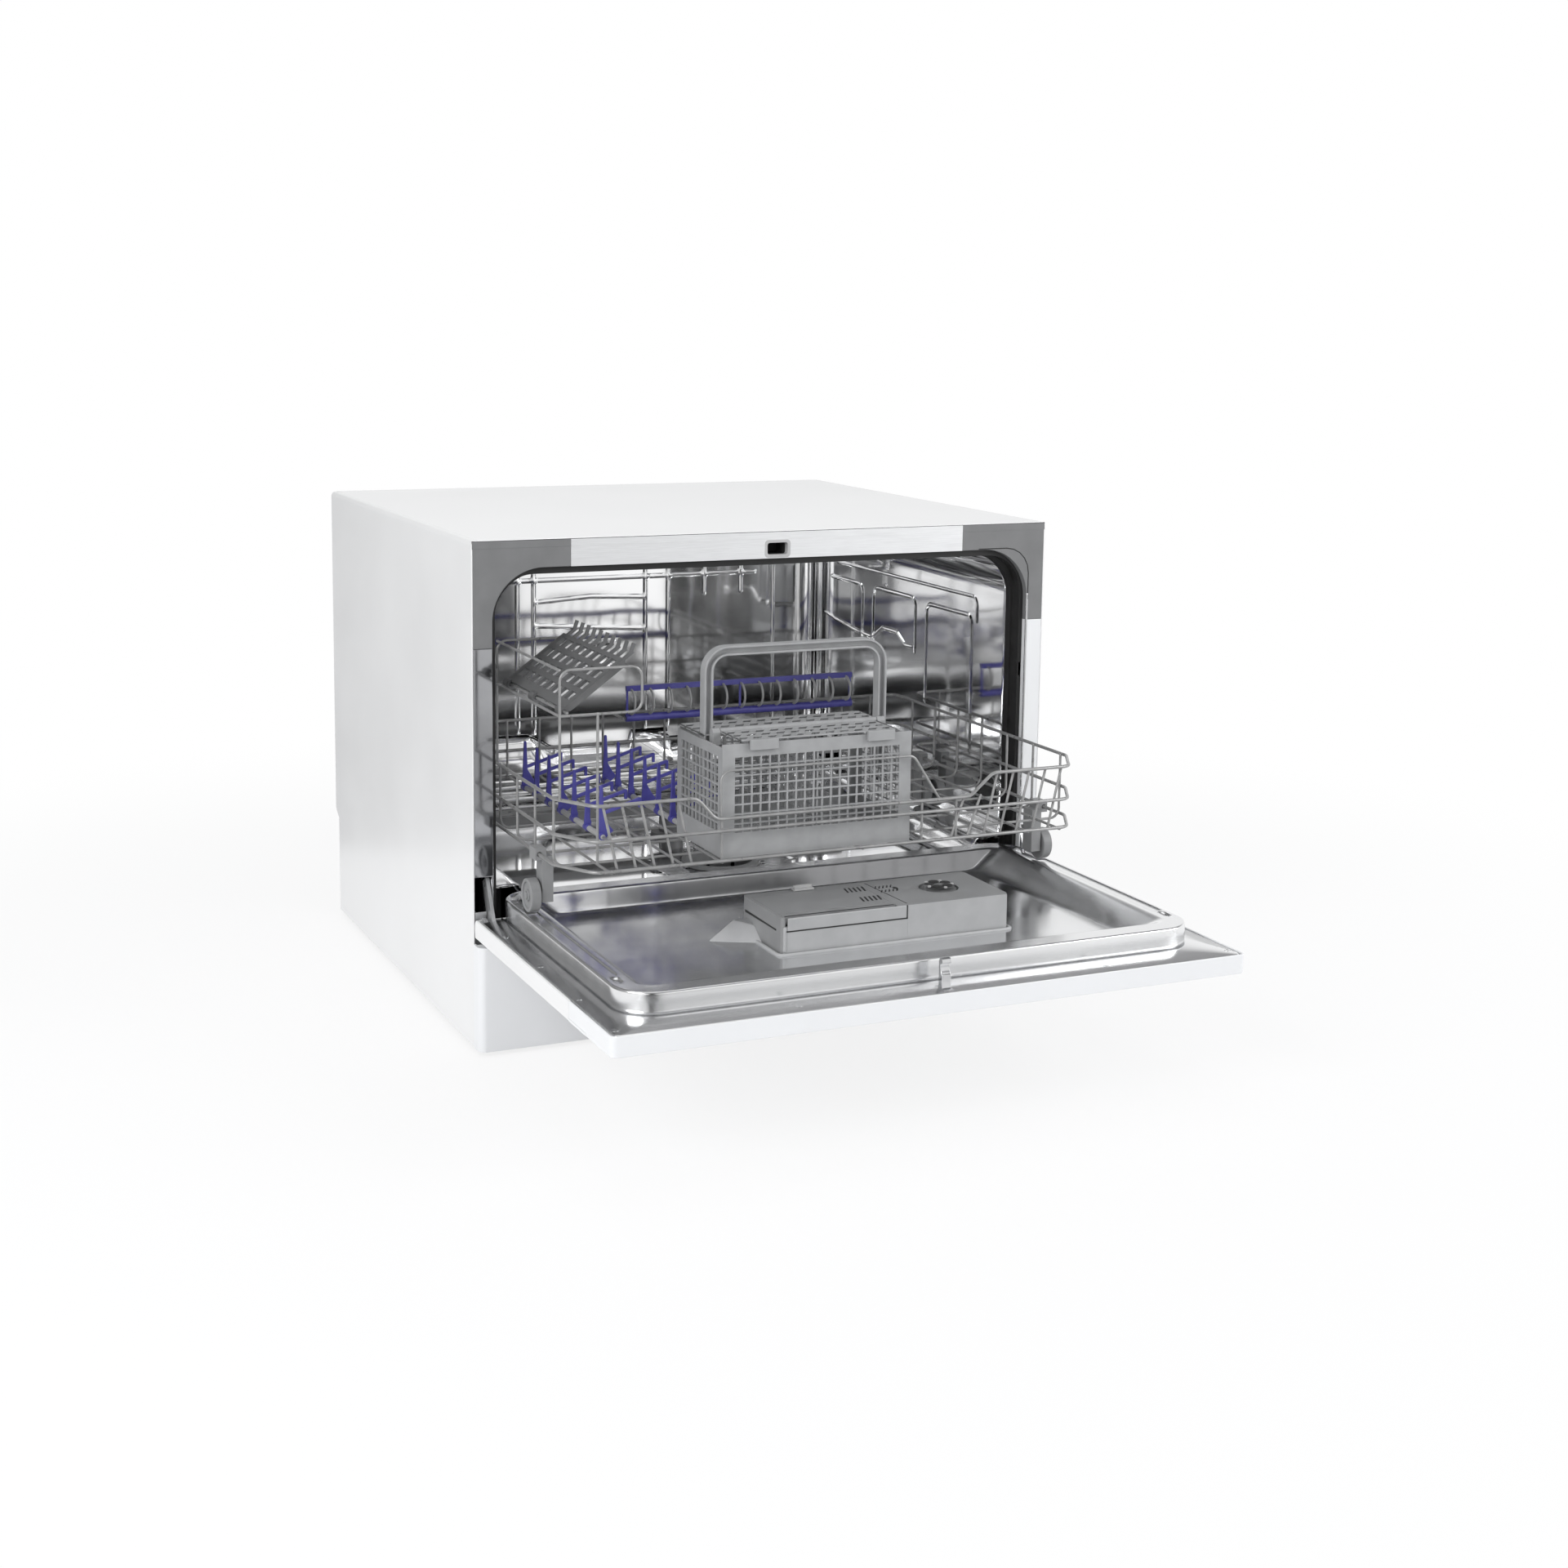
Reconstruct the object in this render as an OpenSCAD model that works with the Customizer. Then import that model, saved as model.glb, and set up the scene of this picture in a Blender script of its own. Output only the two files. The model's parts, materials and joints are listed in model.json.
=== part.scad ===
// Countertop dishwasher with a drop-down door, a wire rack that rolls out and a cutlery basket.
// Millimetres. z = 0 is the worktop, +X is the right-hand side and the door opens towards -Y.
// The part stands with its door open and its rack rolled out over the door.

/* [Cabinet] */
// Width over the side panels
body_w = 550; // [530:1:600]
// Height of the top panel above the worktop
body_h = 438; // [432:1:470]
// Depth from the front edges of the side panels to the rear panel
body_d = 483.5; // [475:0.5:520]
// Thickness of the sheet steel
sheet_t = 1.2; // [0.8:0.1:1.5]
// Radius of the long top edges
edge_r = 5; // [3:0.5:8]
// Height of the rubber feet
foot_h = 8; // [5:0.5:14]
// Radius of a foot
foot_r = 17; // [12:1:22]
// Height of the plinth's top edge
plinth_h = 95; // [85:1:97]
// Wall of the plinth
plinth_t = 2; // [1.5:0.1:3]
// Radius of the plinth's front corners
plinth_r = 7; // [4:1:12]
// Step of the rear panel behind the connectors
rear_step = 12.3; // [8:0.1:20]
// Height of that step
rear_step_h = 109; // [95:1:125]

/* [Front frame] */
// Width of a front post
post_w = 18; // [15:0.5:25]
// Height of the strip above the opening
strip_h = 17.5; // [15:0.5:30]
// Radius of the opening's top corners
opening_r = 45; // [25:1:60]
// How far a corner bracket reaches over the opening
bracket_reach = 69; // [55:1:100]
// Height of the cabinet's top edge above the frame
top_edge = 7; // [6:0.5:12]
// Height of a corner bracket
bracket_h = 84; // [60:1:130]
// Lower edge of the front posts
post_low = 152; // [148:1:180]
// Depth of the frame's inner wall
frame_depth = 28; // [26:0.5:34]
// Wall of the frame parts
frame_t = 1.5; // [1:0.1:2]
// Width of the latch slot
slot_w = 20; // [14:1:30]
// Height of the latch slot
slot_h = 11; // [10:0.5:12]
// Place of the latch slot across the front
slot_x = 3; // [-20:1:20]

/* [Tub] */
// Step between the opening and the tub's wall
tub_step = 5; // [3:0.5:7]
// Step between the opening's top and the tub's ceiling
tub_drop = 3.5; // [2:0.5:12]
// Space between the tub's back wall and the rear panel
tub_rear_gap = 38.5; // [20:0.5:45]
// Height of the well's floor
well_z = 112; // [108:1:118]
// Height of the side ledges that the rack's wheels run on
ledge_z = 135.7; // [135:0.1:135.9]
// Width of a side ledge
ledge_w = 24; // [18:1:30]
// Radius of the sump hole
sump_r = 56; // [45:1:60]
// Place of the sump behind the front plane
sump_y = 112; // [100:1:130]
// Place of the spray arm's post behind the front plane
arm_y = 237; // [230:1:250]
// Length of half the spray arm
arm_reach = 188; // [150:1:195]

/* [Door] */
// Thickness of the door
door_t = 16; // [14:0.5:18]
// Gap between the door's edge and the cabinet's side
door_side = 1; // [0.5:0.1:3]
// Gap between the closed door's top and the cabinet's top
door_top_gap = 1.5; // [0.5:0.5:5]
// Place of the hinge axis behind the front plane
hinge_y = -7; // [-8:0.5:-7]
// Height of the hinge axis
hinge_z = 110.5; // [109:0.5:112]
// Radius of the door's edge round the hinge axis
hinge_edge_r = 6.5; // [5:0.5:6.5]
// Height of the control fascia on the closed door
fascia_h = 93; // [70:1:110]
// Width of the flange beside the tray
tray_side = 22; // [21:0.5:34]
// Height of the tray's ridge above the door
tray_h = 18; // [14:0.5:18]
// Gap between the closed tray and the top of the opening
tray_gap = 10; // [9:0.5:22]
// How far the tray reaches past the hinge axis
tray_tail = 18; // [12:0.5:18]
// Corner radius of the tray
tray_r = 32; // [20:1:40]
// Width of the ridge's flat top
ridge_w = 20; // [16:1:26]
// Width of the basin's sloping wall
basin_slope = 16; // [6:1:30]
// Depth of the basin below the ridge
basin_depth = 15.5; // [10:0.5:16]

/* [Dispenser] */
// Width of the detergent dispenser
disp_w = 208; // [180:1:220]
// Depth of the dispenser
disp_d = 78; // [70:1:80]
// Place of its left end
disp_x = -82; // [-100:1:-60]
// Place of its front edge
disp_y = -203; // [-206:1:-200]
// Height of its top face above the door's inner face
disp_h = 33; // [26:0.5:34]
// Width of the detergent lid
lid_w = 107; // [90:1:120]

/* [Rack] */
// Gap between the rack and the tub's wall
rack_side = 10; // [7:0.5:17]
// Place of the rack's front rail
rack_front = -145; // [-150:1:-140]
// Place of the rack's rear rail
rack_rear = 226; // [215:1:227]
// Height of the rack's floor wires
rack_floor_z = 184; // [180:0.5:186]
// Height of the middle rail
rack_mid_z = 211; // [205:1:216]
// Height of the top rail
rack_top_z = 240; // [234:1:250]
// Height of the dip in the front rail
rack_dip_z = 221; // [218:1:226]
// Depth of the chamfered front corners
corner_cut = 40; // [20:1:50]
// Diameter of the rails
rail_d = 4; // [3:0.1:5]
// Diameter of the thinner wires
wire_d = 3.2; // [2.4:0.1:4]
// Travel of the rack into the tub
rack_travel = 215; // [200:1:216]
// Radius of the rack's wheels
wheel_r = 14; // [12:0.5:15]
// Thickness of a wheel
wheel_t = 9; // [7:0.5:10]
// Radius of a wheel's axle
axle_r = 3; // [2:0.1:4]
// Place of the front wheels
wheel_front_y = -60; // [-64:1:-58]
// Place of the rear wheels
wheel_rear_y = 168; // [150:1:190]

/* [Cutlery basket] */
// Width of the basket
basket_w = 173; // [150:1:180]
// Depth of the basket
basket_d = 97; // [80:1:100]
// Height of the basket's rim above its foot
basket_h = 95; // [85:1:100]
// Wall of the basket
basket_t = 2.4; // [1.8:0.1:3]
// Height of the handle's top above the rim
handle_h = 73; // [60:1:90]
// Pitch of the basket's mesh
mesh_pitch = 13; // [8:0.1:14]
// Width of the mesh's ribs
mesh_rib = 2.6; // [1.6:0.1:3]

/* [Shelves and tines] */
// Length of the cup shelf's outer edge
shelf_len = 148; // [120:1:150]
// Width of the cup shelf from its hinge
shelf_w = 78; // [60:1:84]
// Tilt of the cup shelf at rest
shelf_tilt = 36; // [20:1:40]
// Height of the cup shelf's hinge rod
shelf_z = 310; // [300:1:320]
// Number of loops in the glass rail
loops = 13; // [9:1:13]
// Pitch of these loops
loop_pitch = 19; // [16:0.5:19]
// Number of tines in a row
tines = 7; // [4:1:7]
// Pitch of the tines
tine_pitch = 34; // [28:1:34]
// Height of a tine above its pivot
tine_h = 44; // [36:1:50]

/* [Hidden] */
$fn = 48;

// Sizes that follow from the cabinet's width, height and depth
opening_w = body_w - 2 * post_w;
strip_w = opening_w - 2 * bracket_reach;
frame_top = body_h - top_edge;
opening_top = frame_top - strip_h;
bracket_low = frame_top - bracket_h;
tub_w = opening_w - 2 * tub_step;
tub_top = opening_top - tub_drop;
tub_back = body_d - tub_rear_gap;
door_w = body_w - 2 * door_side;
door_reach = body_h - door_top_gap - hinge_z;
tray_w = door_w - 2 * tray_side;
tray_reach = opening_top - tray_gap - hinge_z;
rack_w = tub_w - 2 * rack_side;

// Clearances: hands-off gap between bodies, running fit round a pin, and a thin overlap that fuses
gap = 0.3;
fit = 0.05;
bite = 0.4;

// Cabinet, worked out from the driving sizes
body_half = body_w / 2;
inner_half = body_half - sheet_t;
door_reach_y = hinge_y - door_reach;
front_y = -(door_reach_y + body_d) / 2;
opening_half = opening_w / 2;
tub_half = tub_w / 2;
tub_r = opening_r - 4;
well_half = tub_half - ledge_w - 12;
seal_lap = 1.5;
seal_y = 6;
seal_step_y = 18;
frame_side = inner_half;

// Door: its inner and outer faces as it lies open
door_in_z = hinge_z + hinge_edge_r;
door_out_z = door_in_z - door_t;
liner_z = door_in_z - 0.2;
ridge_z = door_in_z + tray_h;
basin_z = ridge_z - basin_depth;
tray_front = hinge_y - tray_reach;
tray_rear = hinge_y + tray_tail;
tray_half = tray_w / 2;
fascia_y = door_reach_y + fascia_h;
plinth_front = hinge_y - (hinge_z - door_out_z);
disp_top = door_in_z + disp_h;
lid_axis_y = disp_y + 4;
lid_axis_z = disp_top - 4.5;
cap_x = disp_x + disp_w - 45;
cap_y = disp_y + disp_d / 2;
hook_y = hinge_y - (frame_top - slot_h / 2 - 3.5 - hinge_z);
slot_z = hinge_z + hinge_y - hook_y;

// Rack
rail_x = rack_w / 2 - rail_d / 2;
upright_x = rail_x - (rail_d + wire_d) / 2 + bite + 0.2;
upright_y = rack_front + (rail_d + wire_d) / 2 - bite - 0.2;
low_rail_z = rack_floor_z + 2;
cross_z = rack_floor_z - wire_d + bite;
pivot_z = low_rail_z + 0.6;
wheel_z = ledge_z + gap + wheel_r;
wheel_x = tub_half - 4 - wheel_t / 2;
dip_left = [-132, -115];
dip_right = [120, 142];
track_r = 57;
track_y = wheel_front_y + 22;

// Cutlery basket
basket_x = -107;
basket_y = rack_front + 7;
basket_z = rack_floor_z + wire_d / 2 + gap;
rim_z = basket_z + basket_h;
handle_y = basket_y + basket_d / 2;

// Shelves and tines
shelf_x = -rail_x + 9.5;
shelf_y = -104;
cradle_z = [308, 345];
rail_blue_x = -60;
rail_blue_y = rack_rear - 27;
tine_x = [-172, -93];
tine_y = -31;
pivot_stop_y = basket_y + basket_d + 0.5 + wire_d / 2;
wire_sides = 8;

// Puts what is measured from the front plane into the part's own frame
module at_front() translate([0, front_y, 0]) children();

module box_between(lo, hi) translate(lo) cube(hi - lo);

module both_sides() for (side = [0, 1]) mirror([side, 0, 0]) children();

module rounded_2d(lo, hi, r) {
  translate(lo + [r, 0]) square(hi - lo - [2 * r, 0]);
  translate(lo + [0, r]) square(hi - lo - [0, 2 * r]);
  for (x = [lo[0] + r, hi[0] - r], y = [lo[1] + r, hi[1] - r]) translate([x, y]) circle(r);
}

// Outline that is square below and rounded at its two top corners
module arch_2d(half, low, top, r) {
  translate([-half, low]) square([2 * half, top - r - low]);
  translate([-half + r, low]) square([2 * (half - r), top - low]);
  for (x = [-half + r, half - r]) translate([x, top - r]) circle(r);
}

// Extrudes a front view, drawn in x and z, from one depth to another
module along_y(y0, y1) translate([0, y1, 0]) rotate([90, 0, 0]) linear_extrude(y1 - y0) children();

// Extrudes a side view, drawn in y and z, from one x to another
module along_x(x0, x1)
  translate([x0, 0, 0]) rotate([90, 0, 90]) linear_extrude(x1 - x0) children();

module pin_x(x0, x1, y, z, r) translate([x0, y, z]) rotate([0, 90, 0]) cylinder(h = x1 - x0, r = r);

module pin_y(y0, y1, x, z, r) translate([x, y0, z]) rotate([-90, 0, 0]) cylinder(h = y1 - y0, r = r);

// Straight wire between two points
module rod(from, to, d) {
  way = to - from;
  reach = norm(way);
  translate(from) rotate([0, acos(way[2] / reach), atan2(way[1], way[0])])
    cylinder(h = reach, d = d, $fn = wire_sides);
}

// Bent wire: each straight is lengthened so that its corners close
function bend_reach(p, q, r, d) =
  d / 2 * tan(acos(min(1, (q - p) * (r - q) / (norm(q - p) * norm(r - q)))) / 2);
module wire(points, d) {
  last = len(points) - 1;
  for (i = [0 : last - 1]) {
    way = (points[i + 1] - points[i]) / norm(points[i + 1] - points[i]);
    before = i == 0 ? 0 : bend_reach(points[i - 1], points[i], points[i + 1], d);
    after = i == last - 1 ? 0 : bend_reach(points[i], points[i + 1], points[i + 2], d);
    rod(points[i] - way * before, points[i + 1] + way * after, d);
  }
}

// Cabinet

module top_panel() color("white") at_front() {
  box_between([-body_half + edge_r, 0, body_h - sheet_t], [body_half - edge_r, body_d, body_h]);
  box_between([-body_half + edge_r, 0, frame_top + 0.6], [body_half - edge_r, sheet_t, body_h]);
}

module side_outline() {
  notch_y = body_d - rear_step;
  polygon([[0, 4], [notch_y, 4], [notch_y, rear_step_h - 8], [body_d, rear_step_h],
           [body_d, body_h - edge_r], [0, body_h - edge_r]]);
}

module side_panel_left() color("white") at_front() {
  along_x(-body_half, -inner_half) side_outline();
  along_y(0, body_d) intersection() {
    translate([-body_half + edge_r, body_h - edge_r]) difference() {
      circle(edge_r);
      circle(edge_r - sheet_t);
    }
    translate([-body_half, body_h - edge_r]) square(edge_r);
  }
}

module side_panel_right() mirror([1, 0, 0]) side_panel_left();

module rear_panel() color("gainsboro") at_front() difference() {
  union() {
    along_y(body_d - sheet_t, body_d) arch_2d(inner_half, rear_step_h, body_h - sheet_t, edge_r - sheet_t);
    box_between([-inner_half, body_d - rear_step - sheet_t, rear_step_h],
                [inner_half, body_d, rear_step_h + sheet_t]);
    box_between([-inner_half, body_d - rear_step - sheet_t, foot_h],
                [inner_half, body_d - rear_step, rear_step_h + sheet_t]);
  }
  for (row = [0 : 5], column = [-1, 1])
    box_between([column * 150 - 40, body_d - 5, 250 + row * 16], [column * 150 + 40, body_d + 5, 254 + row * 16]);
  pin_y(body_d - 30, body_d, inlet_x, connector_z, inlet_flange_r + gap);
  pin_y(body_d - 30, body_d, drain_x, connector_z, drain_collar_r + gap);
  pin_y(body_d - 30, body_d, gland_x, connector_z, gland_r + gap);
}

tray_rim = 34;
stand_x = tub_half - ledge_w / 2 + 2;
module base_tray() color("dimgray") at_front() {
  rear = body_d - rear_step - sheet_t;
  difference() {
    box_between([-inner_half, 0, foot_h], [inner_half, rear, foot_h + tray_rim]);
    box_between([-inner_half + plinth_t, plinth_t, foot_h + plinth_t],
                [inner_half - plinth_t, rear - plinth_t, foot_h + tray_rim + 1]);
  }
  for (x = [-stand_x, stand_x], y = [60, 400])
    box_between([x - 8, y - 8, foot_h + plinth_t - 0.2], [x + 8, y + 8, ledge_z - sheet_t]);
}

module plinth_outline(inset) {
  half = body_half - inset;
  front = plinth_front + inset;
  r = plinth_r - inset;
  translate([-half + r, front]) square([2 * (half - r), r]);
  translate([-half, front + r]) square([2 * half, -front - r]);
  for (x = [-half + r, half - r]) translate([x, front + r]) circle(r);
}

module plinth() color("white") at_front() {
  translate([0, 0, 4]) linear_extrude(plinth_h - 4) difference() {
    plinth_outline(0);
    plinth_outline(plinth_t);
    translate([-body_half + plinth_t, -plinth_t - 1]) square([body_w - 2 * plinth_t, plinth_t + 2]);
  }
  box_between([-body_half + plinth_t, plinth_front + plinth_t, plinth_h - plinth_t],
              [body_half - plinth_t, -3.5, plinth_h]);
  box_between([-body_half + plinth_t, -plinth_t, 4], [body_half - plinth_t, 0, foot_h + tray_rim]);
}

module feet() color("black") at_front()
  for (x = [-1, 1], y = [34, body_d - rear_step - 34])
    translate([x * (body_half - 40), y, 0]) {
      cylinder(h = foot_h, r = foot_r);
      translate([0, 0, foot_h - 3]) cylinder(h = 3, r = foot_r - 3);
    }

// Front frame round the door opening

module opening_2d(grow) arch_2d(opening_half + grow, -50, opening_top + grow, opening_r + grow);

// One zone of the frame: its front plate and its inner wall
module frame_zone(lo, hi, wall_lo) {
  along_y(0, frame_t) difference() {
    translate(lo) square(hi - lo);
    opening_2d(0);
  }
  along_y(0, frame_depth) intersection() {
    difference() {
      opening_2d(frame_t);
      opening_2d(0);
    }
    translate(wall_lo) square([hi[0], hi[1]] - wall_lo);
  }
}

module frame_strip() color("silver") at_front() difference() {
  frame_zone([-strip_w / 2, opening_top - 10], [strip_w / 2, frame_top], [-strip_w / 2, opening_top - 10]);
  box_between([slot_x - slot_w / 2, -1, slot_z - slot_h / 2], [slot_x + slot_w / 2, frame_t + 1, slot_z + slot_h / 2]);
}

module corner_brackets() color("gray") at_front() both_sides()
  frame_zone([strip_w / 2, bracket_low], [frame_side, frame_top], [strip_w / 2, bracket_low]);

module front_post() frame_zone([opening_half, post_low], [frame_side, bracket_low], [opening_half, seal_low - 1]);

module front_post_right() color("white") at_front() front_post();

module front_post_left() color("silver") at_front() mirror([1, 0, 0]) front_post();

// Tub with its mouth flange, sill, ledges and well

module tub_outline(grow) {
  arch_2d(tub_half + grow, ledge_z - grow, tub_top + grow, tub_r + grow);
  polygon([[-tub_half + ledge_w - grow, ledge_z + 1], [-well_half - grow, well_z - grow],
           [well_half + grow, well_z - grow], [tub_half - ledge_w + grow, ledge_z + 1]]);
}

module tub() color("silver") at_front() difference() {
  union() {
    along_y(frame_depth, tub_back + sheet_t) tub_outline(sheet_t);
    along_y(frame_depth, frame_depth + sheet_t)
      arch_2d(opening_half + frame_t, plinth_h, opening_top + frame_t, opening_r + frame_t);
  }
  along_y(frame_depth + sheet_t, tub_back) tub_outline(0);
  along_y(frame_depth - 1, frame_depth + sheet_t + 1) difference() {
    tub_outline(0);
    translate([-tub_half, plinth_h]) square([tub_w, sill_z - plinth_h]);
  }
  translate([0, sump_y, well_z - 10]) cylinder(h = 20, r = sump_r);
  translate([0, arm_y, well_z - 10]) cylinder(h = 20, r = post_r + gap);
}
sill_z = 125;
post_r = 12;

// Lower end of the seal and of the posts' inner walls
seal_low = 121;
module door_seal() color([0.05, 0.05, 0.05]) at_front()
  for (part = [[seal_y, seal_step_y, tub_half + 1, tray_r + 2], [seal_step_y, frame_depth - 2, tub_half - seal_lap, tub_r]])
    along_y(part[0], part[1]) difference() {
      arch_2d(opening_half - gap, seal_low, opening_top - gap, opening_r - gap);
      arch_2d(part[2], seal_low - 1, tub_top - 2.5, part[3]);
    }

module sill_seal() color([0.05, 0.05, 0.05]) at_front()
  box_between([-well_half, frame_depth - 3, 104], [well_half, frame_depth, 118]);

// Hinge plates on the cabinet with their pins, one each side
arm_x = inner_half - 11.5;
plate_x = arm_x + 3.4;
hinge_pin_r = 3;

module hinge_brackets() color("silver") at_front() both_sides() {
  along_x(plate_x, plate_x + 3) difference() {
    union() {
      translate([hinge_y, hinge_z]) circle(8);
      translate([hinge_y, hinge_z - 6]) square([60, 12]);
      translate([34, hinge_z - 30]) square([40, 60]);
    }
    translate([50, hinge_z + 16]) circle(4);
  }
  box_between([plate_x, 34, hinge_z - 30], [inner_half, 74, hinge_z - 27]);
  pin_x(arm_x - 1, plate_x + 3, hinge_y, hinge_z, hinge_pin_r);
}

// Guide discs on the tub's side walls that hold the rack's sides in line
guide_t = 2.8;
guide_r = 18;
guide_y = frame_depth + 26;
guide_z = 172;
module rack_guides() color([0.16, 0.16, 0.18]) at_front() both_sides()
  difference() {
    pin_x(tub_half - guide_t, tub_half, guide_y, guide_z, guide_r);
    pin_x(tub_half - guide_t - 1, tub_half - guide_t + 0.8, guide_y, guide_z, guide_r - 6);
  }

// Water works under the tub

module sump() color("dimgray") at_front() translate([0, sump_y, 0]) difference() {
  union() {
    translate([0, 0, 62]) cylinder(h = well_z - sheet_t - 62, r = sump_r - 6);
    translate([0, 0, well_z - sheet_t - 4]) cylinder(h = 4, r = sump_r + 8);
    translate([sump_r - 10, -14, 66]) cube([28, 28, 30]);
  }
  translate([0, 0, 66]) cylinder(h = 60, r = sump_r - 10);
}

cup_r = 33;
module filter_plate() color("silver") at_front() translate([0, sump_y, 0]) difference() {
  union() {
    translate([0, 0, well_z + gap]) cylinder(h = sheet_t, r = sump_r + 10);
    translate([0, 0, well_z - 4]) cylinder(h = 5, r = sump_r - 10 - gap);
  }
  translate([0, 0, well_z - 5]) cylinder(h = 20, r = cup_r + gap);
  for (i = [0 : 23]) rotate(i * 15) translate([cup_r + 6.4, 0, well_z - 5]) cylinder(h = 20, r = 2.2);
}

module filter_cup() color("gray") at_front() translate([0, sump_y, 0]) {
  difference() {
    union() {
      translate([0, 0, 67]) cylinder(h = well_z + 4 - 67, r = cup_r - 1);
      translate([0, 0, well_z + 2]) cylinder(h = 3, r = cup_r + 4);
    }
    translate([0, 0, 69]) cylinder(h = 60, r = cup_r - 3);
    for (i = [0 : 7], z = [76, 88, 100])
      rotate(i * 45) translate([0, -2, z]) cube([cup_r + 5, 4, 8]);
  }
  translate([-cup_r + 2, -2, well_z + 2]) cube([2 * cup_r - 4, 4, 12]);
}

module wash_pump() color("dimgray") at_front() {
  pin_x(74, 96, sump_y, 72, 30);
  pin_x(96, 172, sump_y, 72, 34);
  pin_x(172, 184, sump_y, 72, 20);
  box_between([100, sump_y - 20, foot_h + plinth_t], [160, sump_y + 20, 46]);
  translate([85, sump_y + 20, 72]) rotate([-90, 0, 0]) cylinder(h = 60, r = 10);
}

module heater() color("silver") at_front() {
  pin_y(sump_y + 80, sump_y + 190, 85, 72, 22);
  box_between([75, sump_y + 100, foot_h + plinth_t], [95, sump_y + 170, 56]);
}

drain_x = 150;
drain_r = 10;
spigot_out_r = 9.5;
drain_collar_r = 13;
inlet_x = 215;
inlet_r = 13.2;
inlet_flange_r = 20;
gland_x = -205;
gland_r = 11;
connector_z = 62;
rear_face = body_d - rear_step;

module drain_pump() color("darkslategray") at_front() {
  pin_x(-150, -75, sump_y, 60, 22);
  pin_x(-75, -sump_r + 6, sump_y, 78, 9);
  pin_x(-76, -70, sump_y, 66, 26);
  box_between([-140, sump_y - 12, foot_h + plinth_t], [-100, sump_y + 12, 42]);
  difference() {
    union() {
      pin_y(sump_y + 20, 300, -110, 60, drain_r);
      pin_x(-110 - drain_r, drain_x + drain_r, 300, 34, drain_r);
      translate([-110, 300, 34]) cylinder(h = 26, r = drain_r);
      translate([-110, 300, 60]) sphere(drain_r);
      translate([drain_x, 300, 34]) cylinder(h = connector_z - 34, r = drain_r);
      pin_y(300, rear_face - sheet_t, drain_x, connector_z, drain_r);
      pin_y(rear_face - sheet_t, rear_face, drain_x, connector_z, drain_collar_r);
      pin_y(rear_face - 1, body_d - 1, drain_x, connector_z, spigot_out_r);
    }
    pin_y(300, body_d + 1, drain_x, connector_z, drain_r - 2);
  }
}

module inlet_valve() color("whitesmoke") at_front() {
  pin_y(rear_face - 46, rear_face, inlet_x, connector_z, inlet_flange_r - 3);
  pin_y(rear_face - 6, rear_face, inlet_x, connector_z, inlet_flange_r);
  box_between([inlet_x - 14, rear_face - 44, connector_z], [inlet_x + 14, rear_face - 12, connector_z + 34]);
  box_between([inlet_x - 10, rear_face - 30, foot_h + plinth_t], [inlet_x + 10, rear_face - 14, connector_z]);
  difference() {
    pin_y(rear_face, body_d - 0.3, inlet_x, connector_z, inlet_r);
    pin_y(rear_face - 4, body_d, inlet_x, connector_z, inlet_r - 4);
  }
}

module cord_gland() color("black") at_front() difference() {
  union() {
    pin_y(rear_face, rear_face + 4, gland_x, connector_z, gland_r + 3);
    pin_y(rear_face - 12, rear_face, gland_x, connector_z, gland_r);
    pin_y(rear_face, body_d - 1, gland_x, connector_z, gland_r - 3);
  }
  pin_y(rear_face - 20, body_d + 1, gland_x, connector_z, 4);
}

arm_z = 138;
spigot_r = 8;
module spray_post() color("gray") at_front() {
  difference() {
    union() {
      translate([0, arm_y, 62]) cylinder(h = arm_z - 62, r = post_r);
      translate([0, arm_y, well_z + gap]) cylinder(h = 4, r = post_r + 8);
      translate([0, arm_y, arm_z - 1]) cylinder(h = 15, r = spigot_r);
    }
    translate([0, arm_y, 74]) cylinder(h = 90, r = spigot_r - 3);
  }
  pin_x(post_r - 4, 85 - 22, arm_y, 72, 9);
}

module spray_arm() color("darkgray") at_front() translate([0, arm_y, arm_z + gap]) difference() {
  union() {
    linear_extrude(9) {
      translate([-arm_reach + 14, -14]) square([2 * arm_reach - 28, 28]);
      for (x = [-1, 1]) translate([x * (arm_reach - 14), 0]) circle(14);
      circle(26);
    }
    cylinder(h = 13, r = 15);
  }
  translate([0, 0, -1]) cylinder(h = 20, r = spigot_r + fit);
  for (side = [-1, 1], k = [0 : 5])
    translate([side * (40 + k * 25), (k % 2 - 0.5) * 10, 5]) cylinder(h = 6, r = 1.8);
}

// Latch behind the strip

latch_x = [slot_x - 16, slot_x + 16];
module latch_housing() color("dimgray") at_front() difference() {
  box_between([latch_x[0], frame_t, opening_top + frame_t + 0.2], [latch_x[1], 30, body_h - sheet_t]);
  box_between([slot_x - slot_w / 2, 0, slot_z - slot_h / 2], [slot_x + slot_w / 2, 26, slot_z + slot_h / 2]);
  box_between([slot_x - 4.5, 7, slot_z], [slot_x + 4.5, 23.5, body_h - sheet_t - 2]);
}

hook_t = 4;
hook_h = 5.6;
nose_y = [11.4, 14.8];
catch_low = slot_z + 4.6;
module latch_catch() color("silver") at_front() {
  box_between([slot_x - 4, 8, catch_low + 2.4], [slot_x + 4, 23, catch_low + 5]);
  box_between([slot_x - 4, nose_y[0], catch_low], [slot_x + 4, nose_y[1], catch_low + 3]);
}

// Door, drawn as it lies open

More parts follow.
